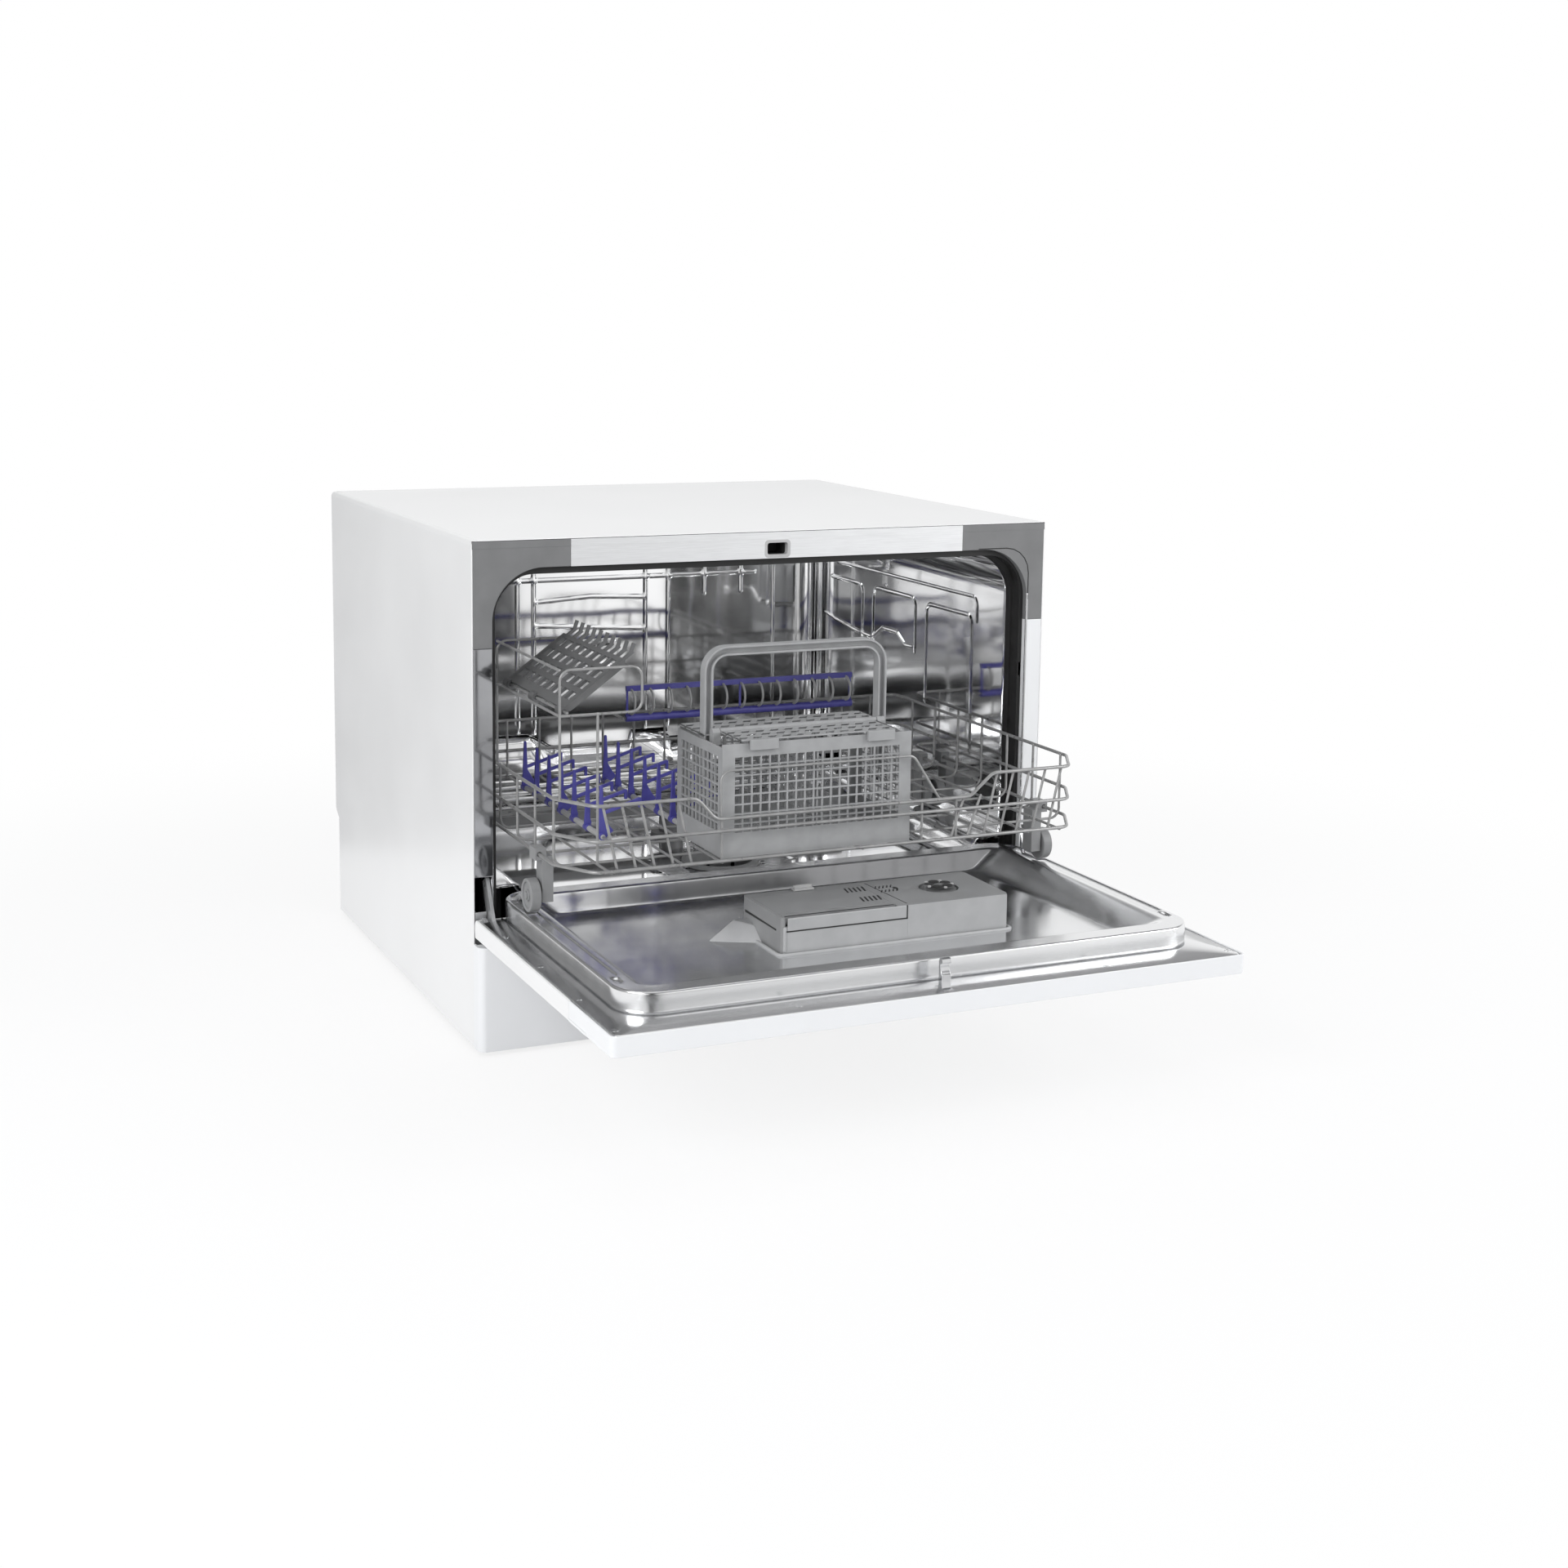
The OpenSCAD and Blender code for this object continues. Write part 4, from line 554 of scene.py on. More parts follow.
# Step at the foot of the back wall, leaning towards the mouth
bm = bmesh.new()
rows = []
for x, top in [(-223, 172), (-110, 174.6), (-80, 174.6), (-74, 173), (-56, 161), (-50, 160), (33, 160), (36, 171.5),
               (77, 171.5), (80, 161), (150, 162), (223, 163)]:
    section = [(446, top + 8), (441.5, top + 4.5), (438.6, top + 1), (437.2, top - 3), (432.6, (top + 140) / 2),
               (428, 140), (428, 132), (446, 132)]
    rows.append([bm.verts.new(P(x, y, z)) for y, z in section])
for a, b in zip(rows, rows[1:]):
    for k in range(8):
        bm.faces.new((a[k], b[k], b[(k + 1) % 8], a[(k + 1) % 8]))
bm.faces.new(rows[0])
bm.faces.new(list(reversed(rows[-1])))
outward(bm)
add("tub_foot_step", bm, "cabinet", "steel_inside", smooth=50)


# ---------------------------------------------------------------- door tray

HALF, FRONT, REAR = 252.0, -300.0, 11.0


def tray_ring(inset, slope=0.0, n_side=124, n_front=70, kc=9):
    """Rounded outline, drawn in from the tray's edge; the right-hand wall slopes twice as wide."""
    x0, x1 = -HALF + inset, HALF - inset - slope
    y0, y1 = FRONT + inset, REAR - inset
    r = max(32 - inset, 13.0)
    pts = []
    corners = [(x1 - r, y0 + r, -90), (x1 - r, y1 - r, 0), (x0 + r, y1 - r, 90), (x0 + r, y0 + r, 180)]
    counts = [n_side, n_front, n_side, n_front]
    arcs = [arc2(cx, cy, r, a, a + 90, kc) for cx, cy, a in corners]
    for i in range(4):
        pts += arcs[i]
        a, b = arcs[i][-1], arcs[(i + 1) % 4][0]
        m = counts[i]
        pts += [(a[0] + (b[0] - a[0]) * k / m, a[1] + (b[1] - a[1]) * k / m) for k in range(1, m)]
    return pts


def groove(x, y):
    """Depth of the wheel tracks, of the short slots in front of them and of the dip under the front wheels."""
    side = HALF - abs(x)
    if side > 16:
        return 0.0
    d = seg_dist(side, y, [(8.5, -245), (8.5, 30)])
    deep = 1.2 * ease((5.4 - d) / 0.9)
    e = seg_dist(side, y, [(8.5, -263), (8.5, -257)])
    deep = max(deep, 1.6 * ease((3.6 - e) / 0.9))
    w = abs(y + 38)
    if d < 5.4 and w < 24:
        low = 186.4 - math.sqrt(57 ** 2 - w ** 2)
        deep = max(deep, (135 - low) * ease((5.4 - d) / 0.9))
    return deep


def u_path(hx, y0, r, y_end=-7.0, n=40, kc=9):
    """Open outline round the door's free edge, from its right rear end to its left rear end."""
    right = [(hx, y_end + (y0 + r - y_end) * k / n) for k in range(n)]
    right += arc2(hx - r, y0 + r, r, 0, -90, kc)
    right += [((hx - r) * (1 - k / n), y0) for k in range(1, n)]
    return right + [(0.0, y0)] + [(-x, y) for x, y in reversed(right)]


def build_liner():
    ridge, base, floor = 135.0, 117.0, 119.5
    rows = [(0.0, 0.0, base - 0.1), (0.0, 0.0, base + 4), (0.0, 0.0, base + 9), (0.02, 0.0, ridge - 3.2),
            (0.02, 0.0, ridge - 2)]
    for k in range(1, 6):
        a = math.pi / 2 * k / 5
        rows.append((1.7 * (1 - math.cos(a)), 0.0, ridge - 1.7 + 1.7 * math.sin(a)))
    rows.append((2.4, 0.0, ridge))
    for i in [3.3, 3.7, 4.1, 4.9, 5.8, 7.1, 8.5, 9.9, 11.2, 12.1, 12.9, 13.3, 13.7, 14.4, 16.5]:
        rows.append((i, 0.0, ridge))
    drop = ridge - floor
    for t, f in [(-0.14, 0.0), (-0.05, 0.012), (0.03, 0.05), (0.1, 0.115), (0.2, 0.215), (0.35, 0.365), (0.5, 0.515),
                 (0.65, 0.665), (0.78, 0.795), (0.88, 0.885), (0.97, 0.95), (1.08, 0.985), (1.2, 1.0)]:
        rows.append((20 + 16 * t, 16 * max(t, 0) if t > 0 else 0.0, ridge - drop * f))
    bm = bmesh.new()
    rings = []
    for inset, slope, z in rows:
        ring = []
        for x, y in tray_ring(inset, slope):
            dz = groove(x, y) if 3.1 < inset < 15 else 0.0
            ring.append(bm.verts.new(P(x, y, z - dz)))
        rings.append(ring)
    n = len(rings[0])
    for a, b in zip(rings, rings[1:]):
        for k in range(n):
            bm.faces.new((a[k], a[(k + 1) % n], b[(k + 1) % n], b[k]))
    # basin floor with a shallow swell towards the middle so that it drains
    inner = rings[-1]
    mid = P(0, -145, floor + 0.25)
    steps = 14
    last = inner
    for s in range(1, steps):
        f = s / steps
        row = [bm.verts.new(v.co.lerp(mid, f)) for v in inner]
        for k in range(n):
            bm.faces.new((last[k], last[(k + 1) % n], row[(k + 1) % n], row[k]))
        last = row
    bm.faces.new(last)
    # flat flange round the tray, out to the door's outline
    strips = [[bm.verts.new(P(x, y, z)) for x, y in u_path(hx, y0, r)]
              for hx, y0, r, z in ((HALF, FRONT, 32.0, 117.3), (253.4, -301.4, 33.0, 116.8),
                                   (270.6, -329.6, 7.0, 116.8), (272.0, -331.0, 6.0, 116.0))]
    for a, b in zip(strips, strips[1:]):
        for k in range(len(a) - 1):
            bm.faces.new((a[k], a[k + 1], b[k + 1], b[k]))
    outward(bm)
    o = add("door_tray", bm, "door", "steel_door", "door_liner", smooth=50)
    if sum(p.normal.z * p.area for p in o.data.polygons) < 0:
        o.data.flip_normals()
    s = o.modifiers.new("sheet", "SOLIDIFY")
    s.thickness = 0.9 * MM
    s.offset = -1


build_liner()

# White side walls of the door, outside the hinge plates
for tag, x in (("left", -274.55), ("right", 273.85)):
    prism("door_side_" + tag, "door", "cabinet_white",
          [(-239.8, 101.3), (-3.0, 101.3), (-3.0, 113.5), (-6.0, 116.5), (-239.8, 116.5)],
          "x", x, x + 0.7, 0.15, 1)

# Pressed ramp beside the dispenser
bm = bmesh.new()
V = [bm.verts.new(P(*q)) for q in ((-121, -143, 119.3), (-79, -167, 119.3), (-79, -130, 119.3), (-96, -137, 133.5),
                                   (-81, -149, 130.5), (-81, -134, 132.5))]
for f in [(0, 1, 4, 3), (3, 4, 5), (0, 3, 5, 2), (0, 2, 1), (1, 2, 5, 4)]:
    bm.faces.new([V[i] for i in f])
solid("door_ramp", bm, "door", "hinge_steel", smooth=35, width=1.0, segments=4)


# ---------------------------------------------------------------- latch hook, bezel and trims

hook = [(-326.5, 116.5), (-310.5, 116.5), (-310.5, 117.2), (-315.2, 117.4), (-316.0, 119.6), (-315.7, 138.0),
        (-316.6, 140.2), (-318.6, 140.8), (-320.6, 140.2), (-321.3, 138.2), (-321.3, 136.6), (-318.7, 136.0),
        (-318.3, 133.0), (-319.6, 129.5), (-321.2, 127.5), (-321.3, 119.6), (-322.0, 117.4), (-326.5, 117.2)]
prism("latch_hook_bent", "door", "steel_fittings", hook, "x", -1.0, 7.0, 0.6, 3, stands_for=("latch_hook",))
prism("latch_foot", "door", "steel_fittings", rect(-9, -326.5, 15, -310.5), "z", 105.2, 106.8, 0.4, 2)


def slot_ring(w, h, r):
    """Rounded outline round the middle of the latch slot, from its corners' centres."""
    corners = ((w, h, 0), (-w, h, 90), (-w, -h, 180), (w, -h, 270))
    return [p for dx, dz, a in corners for p in arc2(3 + dx, 422 + dz, r, a, a + 90, 5)]


# Rounded bezel of the latch slot
bm = bmesh.new()
outer = slot_ring(9, 4.5, 3.5)
inner = slot_ring(7.5, 3, 2.2)
rows = [[bm.verts.new(P(x, y, z)) for x, z in loop]
        for loop, y in ((outer, 0.6), (outer, -0.1), (inner, -0.2), (inner, 6.0))]
m = len(outer)
for a, b in zip(rows, rows[1:]):
    for k in range(m):
        bm.faces.new((a[k], b[k], b[(k + 1) % m], a[(k + 1) % m]))
solid("latch_bezel", bm, "cabinet", "plastic_light", smooth=40, width=0.4, segments=3)


# ---------------------------------------------------------------- rack

RAIL_X, FRONT_Y, REAR_Y = 240.0, -145.0, 226.0
CORNER_X, CORNER_Y = 218.0, -105.0
UP_X, UP_Y = 237.7, -142.7
RAIL_D, WIRE_D = 3.0, 2.3
FLOOR_Z, CROSS_Z, LOW_Z, MID_Z, TOP_Z, DIP_Z = 184.5, 182.5, 186.0, 211.0, 240.0, 221.0
UPS = [-99 + 46.8 * k for k in range(7)]


def wire(pts, bend):
    return pts, WIRE_D, bend, False


def loop_at(z, dip=False):
    front = [(-CORNER_X, FRONT_Y, z)]
    if dip:
        front += [(-132, FRONT_Y, z), (-115, FRONT_Y, DIP_Z), (120, FRONT_Y, DIP_Z), (142, FRONT_Y, z)]
    front += [(CORNER_X, FRONT_Y, z)]
    return [(-RAIL_X, REAR_Y, z), (-RAIL_X, CORNER_Y, z)] + front + [(RAIL_X, CORNER_Y, z), (RAIL_X, REAR_Y, z)]


rails = [(loop_at(LOW_Z), RAIL_D, 14, True), (loop_at(MID_Z), RAIL_D, 14, True),
         (loop_at(TOP_Z, True), RAIL_D, 12, True)]
for side in (-1, 1):
    for k in range(7):
        x = side * (CORNER_X - 6 - k * 16)
        top = DIP_Z if abs(x) < 140 else TOP_Z
        if abs(x) > 142 or side > 0:
            rails.append(wire([(x, UP_Y, top + 0.8), (x - side * 13, UP_Y, CROSS_Z + 2)], 6))
for x in (-109, 75, 108):
    rails.append(wire([(x, UP_Y, DIP_Z + 0.8), (x, UP_Y, CROSS_Z + 1)], 6))
rails.append(wire([(-110, UP_Y, DIP_Z - 0.8), (-110, UP_Y, 260), (66, UP_Y, 260), (92, UP_Y, DIP_Z - 0.8)], 9))
ends = [-66, 180]
for x in ends:
    rails.append(wire([(x, 199 - 1.6, TOP_Z), (x, REAR_Y, TOP_Z)], 3))
rails.append(wire([(ends[0] - 1.6, 199, TOP_Z), (ends[1] + 1.6, 199, TOP_Z)], 3))
wires("rack_rails", "rack", "wire_grey", rails, ("rack_front_panel", "rack_corners", "rack_rear_panel", "rail_bracket"))

hoops = [wire([(-UP_X, y, TOP_Z + 0.8), (-UP_X, y, CROSS_Z), (UP_X, y, CROSS_Z), (UP_X, y, TOP_Z + 0.8)], 9)
         for y in UPS]
wires("rack_hoops", "rack", "wire_grey", hoops, ("rack_sides",))

long = []
for k in range(14):
    x = -205 + 32 * k
    if x < 212 and min(abs(x + 172), abs(x + 93)) > 8:
        long.append(wire([(x, FRONT_Y, FLOOR_Z), (x, REAR_Y - 2.3, FLOOR_Z), (x, REAR_Y - 2.3, TOP_Z + 0.8)], 8))
    else:
        long.append(wire([(x, REAR_Y - 2.3, CROSS_Z + 2), (x, REAR_Y - 2.3, TOP_Z + 0.8)], 8))
long.append(wire([(-172, FRONT_Y, 186.6), (-172, REAR_Y, 186.6)], 8))
long.append(wire([(-93, -39, 186.6), (-93, REAR_Y, 186.6)], 8))
long.append(wire([(-109, -38.9, FLOOR_Z), (-77, -38.9, FLOOR_Z)], 8))
long.append(wire([(-57, 128, 204), (-57, 128, FLOOR_Z - 1), (-41, 128, FLOOR_Z - 1), (-41, 128, 204)], 4))
wires("rack_floor_wires", "rack", "wire_grey", long, ("rack_floor",))

y0, y1, x0, x1 = -112, 52, -237, -167
tier = [wire([(x0, y0, z), (x0, y1, z)], 5) for z in (308, 345)]
for y in (y0, y1):
    tier.append(wire([(x0, y, TOP_Z - 1.6), (x0, y, 345), (x1, y, 345), (x1, y, 308), (x0, y, 308)], 9))
tier.append(wire([(-205, y0, FLOOR_Z), (-205, y0, 309.6)], 5))
tier.append(wire([(-230.5, y0, 310), (-230.5, y1, 310)], 5))
wires("cup_tier", "rack", "wire_grey", tier, ("cup_cradle",))


# ---------------------------------------------------------------- cutlery basket

BX, BY, BZ, BW, BD, BH = -107.0, -138.0, 185.9, 173.0, 97.0, 95.0
PITCH, RIB = 8.0, 1.35


def lattice(bm, w, low, high, top, place, pad=9.0, pitch=PITCH, rib_w=RIB):
    """A flat wall with square windows between solid bands, later given its thickness."""
    def windows(lo, hi):
        n = max(1, int((hi - lo + rib_w) / pitch))
        start = (lo + hi + rib_w - n * pitch) / 2
        return [v for i in range(n) for v in (start + i * pitch, start + (i + 1) * pitch - rib_w)]
    us = [0.0] + windows(pad, w - pad) + [w]
    vs = [0.0] + windows(low, high) + [top]
    grid = [[bm.verts.new(place(u, v)) for v in vs] for u in us]
    for i in range(len(us) - 1):
        for j in range(len(vs) - 1):
            if not (i % 2 and j % 2):
                bm.faces.new((grid[i][j], grid[i + 1][j], grid[i + 1][j + 1], grid[i][j + 1]))


def sheet(name, body, look, bm, thick, stands_for):
    """A flat-shaded piece with an even thickness."""
    outward(bm)
    o = add(name, bm, body, look, *stands_for, smooth=0)
    s = o.modifiers.new("wall", "SOLIDIFY")
    s.thickness = thick * MM
    s.offset = 0


bm = bmesh.new()
T = 1.6
lattice(bm, BW, 20, BH - 11, BH - 0.5, lambda u, v: P(BX + u, BY + T / 2, BZ + v))
lattice(bm, BW, 20, BH - 11, BH - 0.5, lambda u, v: P(BX + u, BY + BD - T / 2, BZ + v))
for x in (T / 2, BW / 2, BW - T / 2):
    lattice(bm, BD - 2 * T, 20, BH - 11, BH - 3.4, lambda u, v, x=x: P(BX + x, BY + T + u, BZ + v), pad=7.4)
lattice(bm, BW - 2 * T, 3, BD - 5, BD - 2 * T, lambda u, v: P(BX + T + u, BY + T + v, BZ + 7),
        pitch=8.4, rib_w=2.4, pad=3)
sheet("basket_mesh", "basket", "basket_grey", bm, T, ("cutlery_basket", "basket_cross_walls", "basket_floor"))

# Foot ring and rounded corners that stiffen the mesh
stiff = []
for x in (BX + 1.5, BX + BW - 1.5):
    for y in (BY + 1.5, BY + BD - 1.5):
        stiff.append(([(x, y, BZ + 0.4), (x, y, BZ + BH - 0.6)], 2.9, 2, False))
ring = rect(BX + 1.5, BY + 1.5, BX + BW - 1.5, BY + BD - 1.5)
stiff.append(([(x, y, BZ + 1.6) for x, y in ring], 2.9, 3, True))
wires("basket_frame", "basket", "basket_grey", stiff, (), sides=8)


def slot_cover(name, body, x0, x1, y0, y1, z0, z1, cols, row_bands, stands_for):
    """A cover plate with slanted slots between straight bars."""
    bm = bmesh.new()
    pitch = (x1 - x0) / cols
    bar, slant = 5.6, 6.0
    ys = [y0]
    for a, b in row_bands:
        ys += [a, b]
    ys.append(y1)
    faces = []
    for j in range(len(ys) - 1):
        ya, yb = ys[j], ys[j + 1]
        if j % 2 == 0:
            quad = rect(x0, ya, x1, yb)
            faces.append(quad)
            continue
        for i in range(cols + 1):
            cx = x0 + i * pitch
            a, b = max(cx - bar / 2 - slant / 2, x0), min(cx + bar / 2 - slant / 2, x1)
            c, d = max(cx - bar / 2 + slant / 2, x0), min(cx + bar / 2 + slant / 2, x1)
            if b - a < 0.3:
                a, b = x0, x0 + 1.4
            if d - c < 0.3:
                c, d = x1 - 1.4, x1
            faces.append([(a, ya - 0.4), (b, ya - 0.4), (d, yb + 0.4), (c, yb + 0.4)])
    for quad in faces:
        extrude_profile(bm, quad, "z", z0, z1)
    for xe in (x0, x1 - 2.4):
        extrude_profile(bm, rect(xe, y0, xe + 2.4, y1), "z", z0, z1)
    solid(name, bm, body, "basket_grey", *stands_for, smooth=35, width=0.35)


RIM = BZ + BH
slot_cover("basket_cover_rear", "basket", BX, BX + BW, BY + BD / 2 - 5, BY + BD, RIM - 1.2, RIM, 13,
           [(BY + 53, BY + 63), (BY + 68, BY + 78), (BY + 83, BY + 92)], ("basket_top",))
LID0, LID1 = BX + 14, BX + BW - 14
hinge_y = BY + BD / 2 - 9
slot_cover("basket_lid_slotted", "basket_cover", LID0, LID1, BY - 1, hinge_y, RIM + 1.5, RIM + 2.7, 11,
           [(BY + 2.5, BY + 11), (BY + 15, BY + 23.5), (BY + 27.5, hinge_y - 3.5)], ("basket_lid",))
bm = bmesh.new()
for x in (BX + 36, BX + BW - 30):
    extrude_profile(bm, rect(BY - 4, RIM + 2.7, BY - 0.5, RIM - 6), "x", x - 12.5, x + 12.5)
extrude_profile(bm, arc2(hinge_y, RIM + 3, 2.6, 0, 345, 15), "x", LID0, LID1)
solid("basket_lid_hinge", bm, "basket_cover", "basket_grey", smooth=40, width=0.5, segments=2)
bm = bmesh.new()
for x in (LID0 - 7.5, LID1 + 0.3):
    lug = [(hinge_y - 4, RIM - 8), (hinge_y + 4, RIM - 8), (hinge_y + 4, RIM + 3)]
    lug += arc2(hinge_y, RIM + 2.4, 3.4, 20, 160, 6) + [(hinge_y - 4, RIM + 3)]
    extrude_profile(bm, lug, "x", x, x + 7.2)
solid("basket_lugs", bm, "basket", "basket_grey", smooth=40, width=0.5, segments=2)

# Arched handle of I-shaped section, its flanges on the outer and the inner side of the arch
HY = BY + BD / 2
arch = [(BX + 6, HY, RIM - 40), (BX + 6, HY, RIM + 69), (BX + BW - 6, HY, RIM + 69), (BX + BW - 6, HY, RIM - 40)]
path = fillet([P(*q) for q in arch], 17 * MM, 8)
section = [(-4, -5), (-2.2, -5), (-2.2, -1.1), (2.2, -1.1), (2.2, -5), (4, -5)]
section += [(-n, -d) for n, d in section]
bm = bmesh.new()
rows = []
for i, q in enumerate(path):
    t = (path[min(i + 1, len(path) - 1)] - path[max(i - 1, 0)]).normalized()
    nrm = Vector((t.z, 0, -t.x))
    rows.append([bm.verts.new(q + nrm * (n * MM) + Vector((0, d * MM, 0))) for n, d in section])
for a, b in zip(rows, rows[1:]):
    for k in range(len(section)):
        bm.faces.new((a[k], a[(k + 1) % len(section)], b[(k + 1) % len(section)], b[k]))
bm.faces.new(rows[0])
bm.faces.new(list(reversed(rows[-1])))
solid("basket_handle", bm, "basket", "basket_grey", "basket_arch", smooth=40, width=0.35, segments=2)


# ---------------------------------------------------------------- glass rail

bm = bmesh.new()
reach = 12 * 19
tube = arc2(199, 240, 3.7, 0, 337.5, 15)
extrude_profile(bm, tube, "x", -63, -60 + reach + 9)
extrude_profile(bm, [(196.6, 266.0), (200.4, 266.0), (200.6, 271.2), (196.8, 271.2)], "x", -63, -60 + reach + 9)
for cx in (-61.5, 56, 175.5):
    extrude_profile(bm, [(cx - 1.2, 240), (cx + 1.2, 240), (cx + 1.0, 268), (cx - 1.0, 268)], "y", 198.4, 200.0)
solid("glass_rail_body", bm, "glasses", "blue_plastic", "glass_rail", smooth=40, width=0.4, segments=2)
loops = []
for k in range(13):
    cx = -58 + 19 * k
    bow = [(198.4 - dy, 255.5 + dz) for dy, dz in (polar(0, 0, 12, a) for a in range(-70, 71, 20))]
    pts = [(cx, y, z) for y, z in [(198.4, 243.2)] + bow + [(198.4, 267.6)]]
    loops.append((pts, 2.4, 4, False))
wires("glass_rail_loops", "glasses", "plastic_light", loops, (), sides=8)


# ---------------------------------------------------------------- tines

PIVOT_Z = 186.6
for side, x in (("left", -172.0), ("right", -93.0)):
    bm = bmesh.new()
    for k in range(7):
        y = -31 + 34 * k
        thorn = 11 if k % 3 == 0 else 3.4
        spike = [(-3.4, -1), (thorn * 0.4, -1), (thorn, 4), (thorn * 0.62, 9), (2.2, 17), (1.2, 43.2), (0, 44),
                 (-1.2, 43.2), (-2.4, 14)]
        arm = [(0, 17.5), (33.6, 27.6), (33.6, 22), (36.2, 22), (36.2, 30.4), (34.2, 30.9), (0, 20.6)]
        for pts, half in ((spike, 1.25), (arm, 1.2)):
            extrude_profile(bm, [(x + u, PIVOT_Z + v) for u, v in pts], "y", y - half, y + half)
        extrude_profile(bm, arc2(x, PIVOT_Z, 3.3, 0, 337.5, 15), "y", y - 4.5, y + 4.5)
    solid("tines_" + side, bm, "tines_" + side, "blue_plastic", "tine_row_" + side, smooth=40, width=0.45, segments=2)
    wires("tine_spine_" + side, "tines_" + side, "plastic_light",
          [([(x, -36.6, PIVOT_Z), (x, 178.6, PIVOT_Z)], 5.2, 3, False)])


# ---------------------------------------------------------------- dispenser trims, fixings

DT = 150.0


def inlay(name, body, look, outlines, z0, z1, width=0.05):
    """Low shapes standing on a level face, from their outlines in x and y."""
    bm = bmesh.new()
    for pts in outlines:
        extrude_profile(bm, pts, "z", z0, z1)
    return solid(name, bm, body, look, smooth=35, width=width, segments=1)


vents = [[(x, y - 13), (x + 1.7, y - 13), (x + 4.4, y), (x + 2.7, y)]
         for y in (-138.5, -168) for x in (1.5, 5.5, 9.5, 13.5, 17.5)]
inlay("dispenser_vents", "detergent_lid", "guide_dark", vents, DT - 0.3, DT + 0.12)
for part, pts in (("seam", [(28.0, -130), (28.9, -130), (32.9, -199), (32.0, -199)]),
                  ("mark", [(x * 0.6 + 18.4, y) for x, y in disc(46, -152, 3.4)])):
    inlay("dispenser_" + part, "door", "guide_dark", [pts], DT - 0.3, DT + 0.1)


def around(n, first, out, r):
    """Discs in a ring round the middle of the rinse-aid cap."""
    return [disc(*polar(81, -164, out, first + 360 / n * k), r) for k in range(n)]


inlay("rinse_lobes", "rinse_knob", "guide_dark", around(5, 20, 8.2, 4.6), 152.4, 153.2, 0.3)
inlay("rinse_posts", "rinse_knob", "plastic_light", around(5, 56, 11.6, 1.5), 152.0, 153.5, 0.3)
inlay("release_button", "release_key", "plastic_light", [rect(-37, -130, -21, -127)], 151.8, 154.4, 0.5)
# Front wall of the lid, the gap under it and the post at its left end; the dark strips along the lid's side, front and
# end are painted shade in its gaps
for tag, x0, x1, top in (("left", -80.8, 31.3, DT - 8), ("right", 31.3, 124.8, DT - 0.5)):
    prism("dispenser_face_" + tag, "door", "dispenser_front", rect(-203.35, 121, -202.9, top), "x", x0, x1, 0.1, 1)
# Painted shade: a dark strip in the gap along the lid's side
prism("dispenser_side_gap_shade", "door", "guide_dark",
      [(-131, 137.2), (-131, 139.2), (-192, 138.6), (-192, 137.4)], "x", -82.35, -81.9, 0.05, 1)
prism("lid_front_wall", "detergent_lid", "dispenser_front",
      [(-203.9, DT - 10.6), (-202.8, DT - 10.6), (-202.8, DT - 0.5), (-203.3, DT - 0.2), (-203.9, DT - 0.9)],
      "x", -77, 30, 0.3, 2)
# Painted shade: dark strips in the gaps under the lid's front and at its end
prism("lid_front_gap_shade", "door", "guide_dark", rect(-203.6, DT - 11.8, -203.0, DT - 10.6), "x", -78, 31.3, 0.05, 1)
prism("lid_end_gap_shade", "door", "guide_dark", rect(-203.6, DT - 11.8, -203.0, DT - 0.4), "x", 30, 31.3, 0.05, 1)
wires("dispenser_foot", "door", "dispenser_front",
      [([(-84.5, -126, 120), (-84.5, -205.5, 120), (128.5, -205.5, 120), (128.5, -126, 120)], 3.2, 4, False),
       ([(-79.5, -203.2, 122), (-79.5, -203.2, DT - 7.4)], 2.4, 4, False)])
prism("dispenser_lip", "detergent_lid", "dispenser_grey", rect(-199.7, DT - 1.0, -197.0, DT), "x", -78, 21, 0.3, 2)


SCREW_R, SCREW_SIDES, SCREW_FLAT = 0.0038, 16, 0.1
SCREW = [(1.0, 0.0), (1.0, 0.25), (0.86, 0.48), (0.6, 0.62), (0.34, 0.66), (0.26, 0.3), (0.0, 0.26)]
BACK_Y, FOOT_Y = 483.3, 471.2       # rear faces of the rear panel and of the base


def screw_head(bm, centre):
    """A flat cross-head screw facing the rear."""
    axis = Vector((0, 1, 0))
    side = axis.orthogonal().normalized()
    up = axis.cross(side)
    n = SCREW_SIDES
    last = None
    for rad, h in SCREW:
        mid = centre + axis * h * SCREW_R * SCREW_FLAT
        if rad == 0:
            c = bm.verts.new(mid)
            for k in range(n):
                bm.faces.new((last[k], last[(k + 1) % n], c))
            break
        row = []
        for k in range(n):
            a = 2 * math.pi * k / n
            out = SCREW_R * (rad * (1 - 0.35 * (k % 4 != 0)) if rad < 0.3 else rad)
            row.append(bm.verts.new(mid + (side * math.cos(a) + up * math.sin(a)) * out))
        if last:
            for k in range(n):
                bm.faces.new((last[k], last[(k + 1) % n], row[(k + 1) % n], row[k]))
        last = row


bm = bmesh.new()
spots = [(x, BACK_Y, z) for x in (-262, 262) for z in (130, 230, 330, 424)]
spots += [(x, BACK_Y, 426) for x in (-120, 0, 120)] + [(x, FOOT_Y, 22) for x in (-250, -80, 80, 250)]
for spot in spots:
    screw_head(bm, P(*spot))
outward(bm)
add("rear_screws", bm, "cabinet", "steel_fittings", smooth=60)


# ---------------------------------------------------------------- floor, light, camera

def math_node(nt, op, a, b=None, c=None):
    """A maths node whose inputs are numbers or other nodes' outputs."""
    n = nt.nodes.new("ShaderNodeMath")
    n.operation = op
    for i, v in enumerate((a, b, c)):
        if v is None:
            continue
        if isinstance(v, (int, float)):
            n.inputs[i].default_value = v
        else:
            nt.links.new(v, n.inputs[i])
    return n.outputs[0]


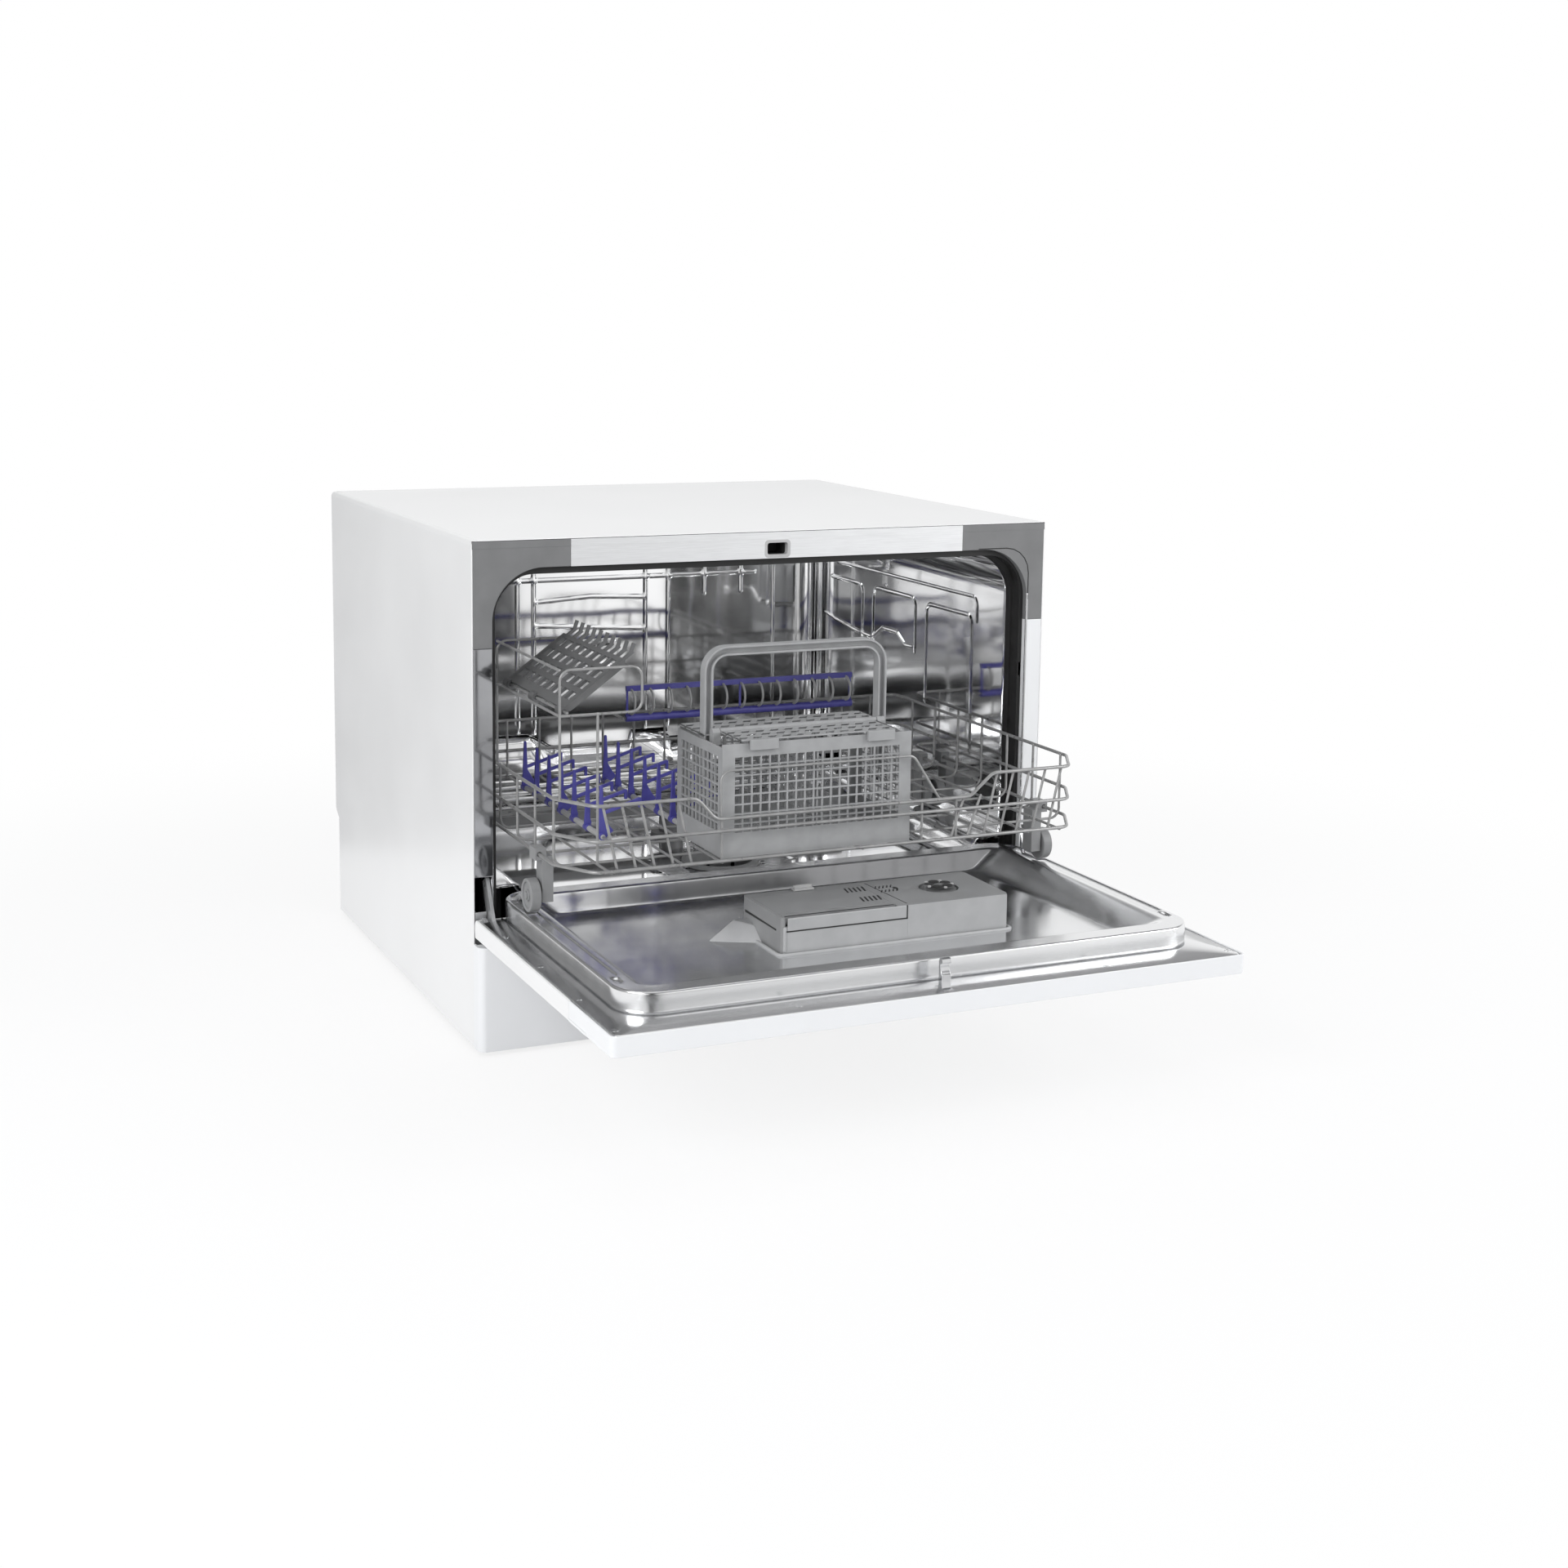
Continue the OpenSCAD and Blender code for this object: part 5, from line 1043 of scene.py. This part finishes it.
WHITE, CEILING = (1, 1, 1, 1), (0.3, 0.3, 0.305, 1)
# How bright the studio is by compass direction, in degrees from the front towards the right: white walls with a
# dark gap in front and a grey wall behind on the left
STUDIO = [(-180, 0.26), (-120, 0.24), (-80, 0.5), (-60, 1.0), (-27, 1.0), (-25.4, 0.8), (-24.6, 0.05), (-12, 0.03),
          (-8, 0.5), (9, 0.7), (14, 0.85), (18.3, 0.9), (18.6, 1.0), (180, 1.0)]


def studio_light(nt, x, y):
    """Brightness from a ground direction in world space."""
    angle = math_node(nt, "ARCTAN2", x, math_node(nt, "MULTIPLY", y, -1.0))
    t = math_node(nt, "ADD", math_node(nt, "MULTIPLY", angle, 0.5 / math.pi), 0.5)
    ramp = nt.nodes.new("ShaderNodeValToRGB")
    el = ramp.color_ramp.elements
    while len(el) > 1:
        el.remove(el[0])
    for i, (deg, v) in enumerate(STUDIO):
        e = el[0] if i == 0 else el.new((deg + 180) / 360)
        e.position = (deg + 180) / 360
        e.color = (v, v, v, 1)
    nt.links.new(t, ramp.inputs["Fac"])
    return ramp.outputs["Color"]


def floor():
    bm = bmesh.new()
    bmesh.ops.create_circle(bm, cap_ends=True, segments=96, radius=1.6)
    me = bpy.data.meshes.new("floor")
    bm.to_mesh(me)
    bm.free()
    o = link("floor", me)
    m = bpy.data.materials.new("floor_white")
    m.use_nodes = True
    nt = m.node_tree
    nd, ln = nt.nodes, nt.links
    bsdf = put(nd["Principled BSDF"], Base_Color=(0.86, 0.86, 0.87, 1), Roughness=0.7)
    at = nd.new("ShaderNodeSeparateXYZ")
    ln.new(nd.new("ShaderNodeNewGeometry").outputs["Position"], at.inputs[0])
    squares = [math_node(nt, "POWER", at.outputs[i], 2.0) for i in (0, 1)]
    away = math_node(nt, "SQRT", math_node(nt, "ADD", *squares))
    far = put(nd.new("ShaderNodeMapRange"), From_Min=0.55, From_Max=1.35, To_Min=0.82)
    far.interpolation_type = "SMOOTHSTEP"
    ln.new(away, far.inputs["Value"])
    lp = nd.new("ShaderNodeLightPath")
    em = nd.new("ShaderNodeEmission")
    glow = put(nd.new("ShaderNodeMixRGB"), Color1=WHITE)
    mirrored = math_node(nt, "MULTIPLY", lp.outputs["Is Glossy Ray"], math_node(nt, "GREATER_THAN", away, 0.75))
    ln.new(mirrored, glow.inputs["Fac"])
    ln.new(studio_light(nt, at.outputs[0], math_node(nt, "SUBTRACT", at.outputs[1], 0.35)), glow.inputs["Color2"])
    ln.new(glow.outputs[0], em.inputs["Color"])
    seen = math_node(nt, "MAXIMUM", lp.outputs["Is Camera Ray"], lp.outputs["Is Glossy Ray"])
    mix = nd.new("ShaderNodeMixShader")
    ln.new(math_node(nt, "MULTIPLY", seen, far.outputs["Result"]), mix.inputs["Fac"])
    ln.new(bsdf.outputs[0], mix.inputs[1])
    ln.new(em.outputs[0], mix.inputs[2])
    ln.new(mix.outputs[0], nd["Material Output"].inputs["Surface"])
    me.materials.append(m)


floor()

world = bpy.data.worlds.new("studio")
bpy.context.scene.world = world
world.use_nodes = True
nt = world.node_tree
nd, ln = nt.nodes, nt.links
lit = put(nd["Background"], Color=(0.97, 0.985, 1.0, 1), Strength=0.55)
white = put(nd.new("ShaderNodeBackground"), Color=WHITE)
mirrored = nd.new("ShaderNodeBackground")
way = nd.new("ShaderNodeSeparateXYZ")
ln.new(nd.new("ShaderNodeTexCoord").outputs["Generated"], way.inputs[0])
high = put(nd.new("ShaderNodeMapRange"), From_Min=0.3, From_Max=0.55)
ln.new(way.outputs[2], high.inputs["Value"])
walls = put(nd.new("ShaderNodeMixRGB"), Color2=CEILING)
ln.new(high.outputs["Result"], walls.inputs["Fac"])
ln.new(studio_light(nt, way.outputs[0], way.outputs[1]), walls.inputs["Color1"])
ln.new(walls.outputs[0], mirrored.inputs["Color"])
lp = nd.new("ShaderNodeLightPath")
shown = nd.new("ShaderNodeMixShader")
ln.new(lp.outputs["Is Glossy Ray"], shown.inputs["Fac"])
ln.new(lit.outputs[0], shown.inputs[1])
ln.new(mirrored.outputs[0], shown.inputs[2])
mix = nd.new("ShaderNodeMixShader")
ln.new(math_node(nt, "MAXIMUM", lp.outputs["Is Camera Ray"], lp.outputs["Is Transmission Ray"]), mix.inputs["Fac"])
ln.new(shown.outputs[0], mix.inputs[1])
ln.new(white.outputs[0], mix.inputs[2])
ln.new(mix.outputs[0], nd["World Output"].inputs["Surface"])


LAMPS = [("key", (-2.2, -1.2, 1.5), (0, -0.05, 0.2), 1.6, 42), ("fill", (2.0, -1.6, 1.3), (0, 0, 0.2), 1.4, 32),
         ("over", (0.1, 0.3, 2.4), (0, 0.05, 0.3), 1.8, 8)]
for name, at, to, size, power in LAMPS:
    lamp = bpy.data.lights.new(name, "AREA")
    lamp.shape = "RECTANGLE"
    lamp.size = lamp.size_y = size
    lamp.energy = power
    o = link(name, lamp)
    o.location = at
    o.rotation_euler = (Vector(to) - Vector(at)).to_track_quat("-Z", "Y").to_euler()

# The camera fitted to the photograph
LENS, SHIFT_Y, EYE = 51.806, -0.1, (-0.817, -1.86125, 0.643)
yaw, pitch, roll = math.radians(24.85), math.radians(8.41), math.radians(0.81)
cam_data = bpy.data.cameras.new("camera")
cam = link("camera", cam_data)
cam_data.sensor_width = 36
cam_data.sensor_fit = "HORIZONTAL"
cam_data.lens = LENS
cam_data.shift_y = SHIFT_Y
fwd = Vector((math.sin(yaw) * math.cos(pitch), math.cos(yaw) * math.cos(pitch), -math.sin(pitch)))
rgt = Vector((math.cos(yaw), -math.sin(yaw), 0))
up = rgt.cross(fwd)
r2 = rgt * math.cos(roll) + up * math.sin(roll)
u2 = up * math.cos(roll) - rgt * math.sin(roll)
rot = Matrix((r2, u2, -fwd)).transposed().to_4x4()
cam.matrix_world = Matrix.Translation(EYE) @ rot
bpy.context.scene.camera = cam
bpy.context.scene.view_settings.view_transform = "Standard"
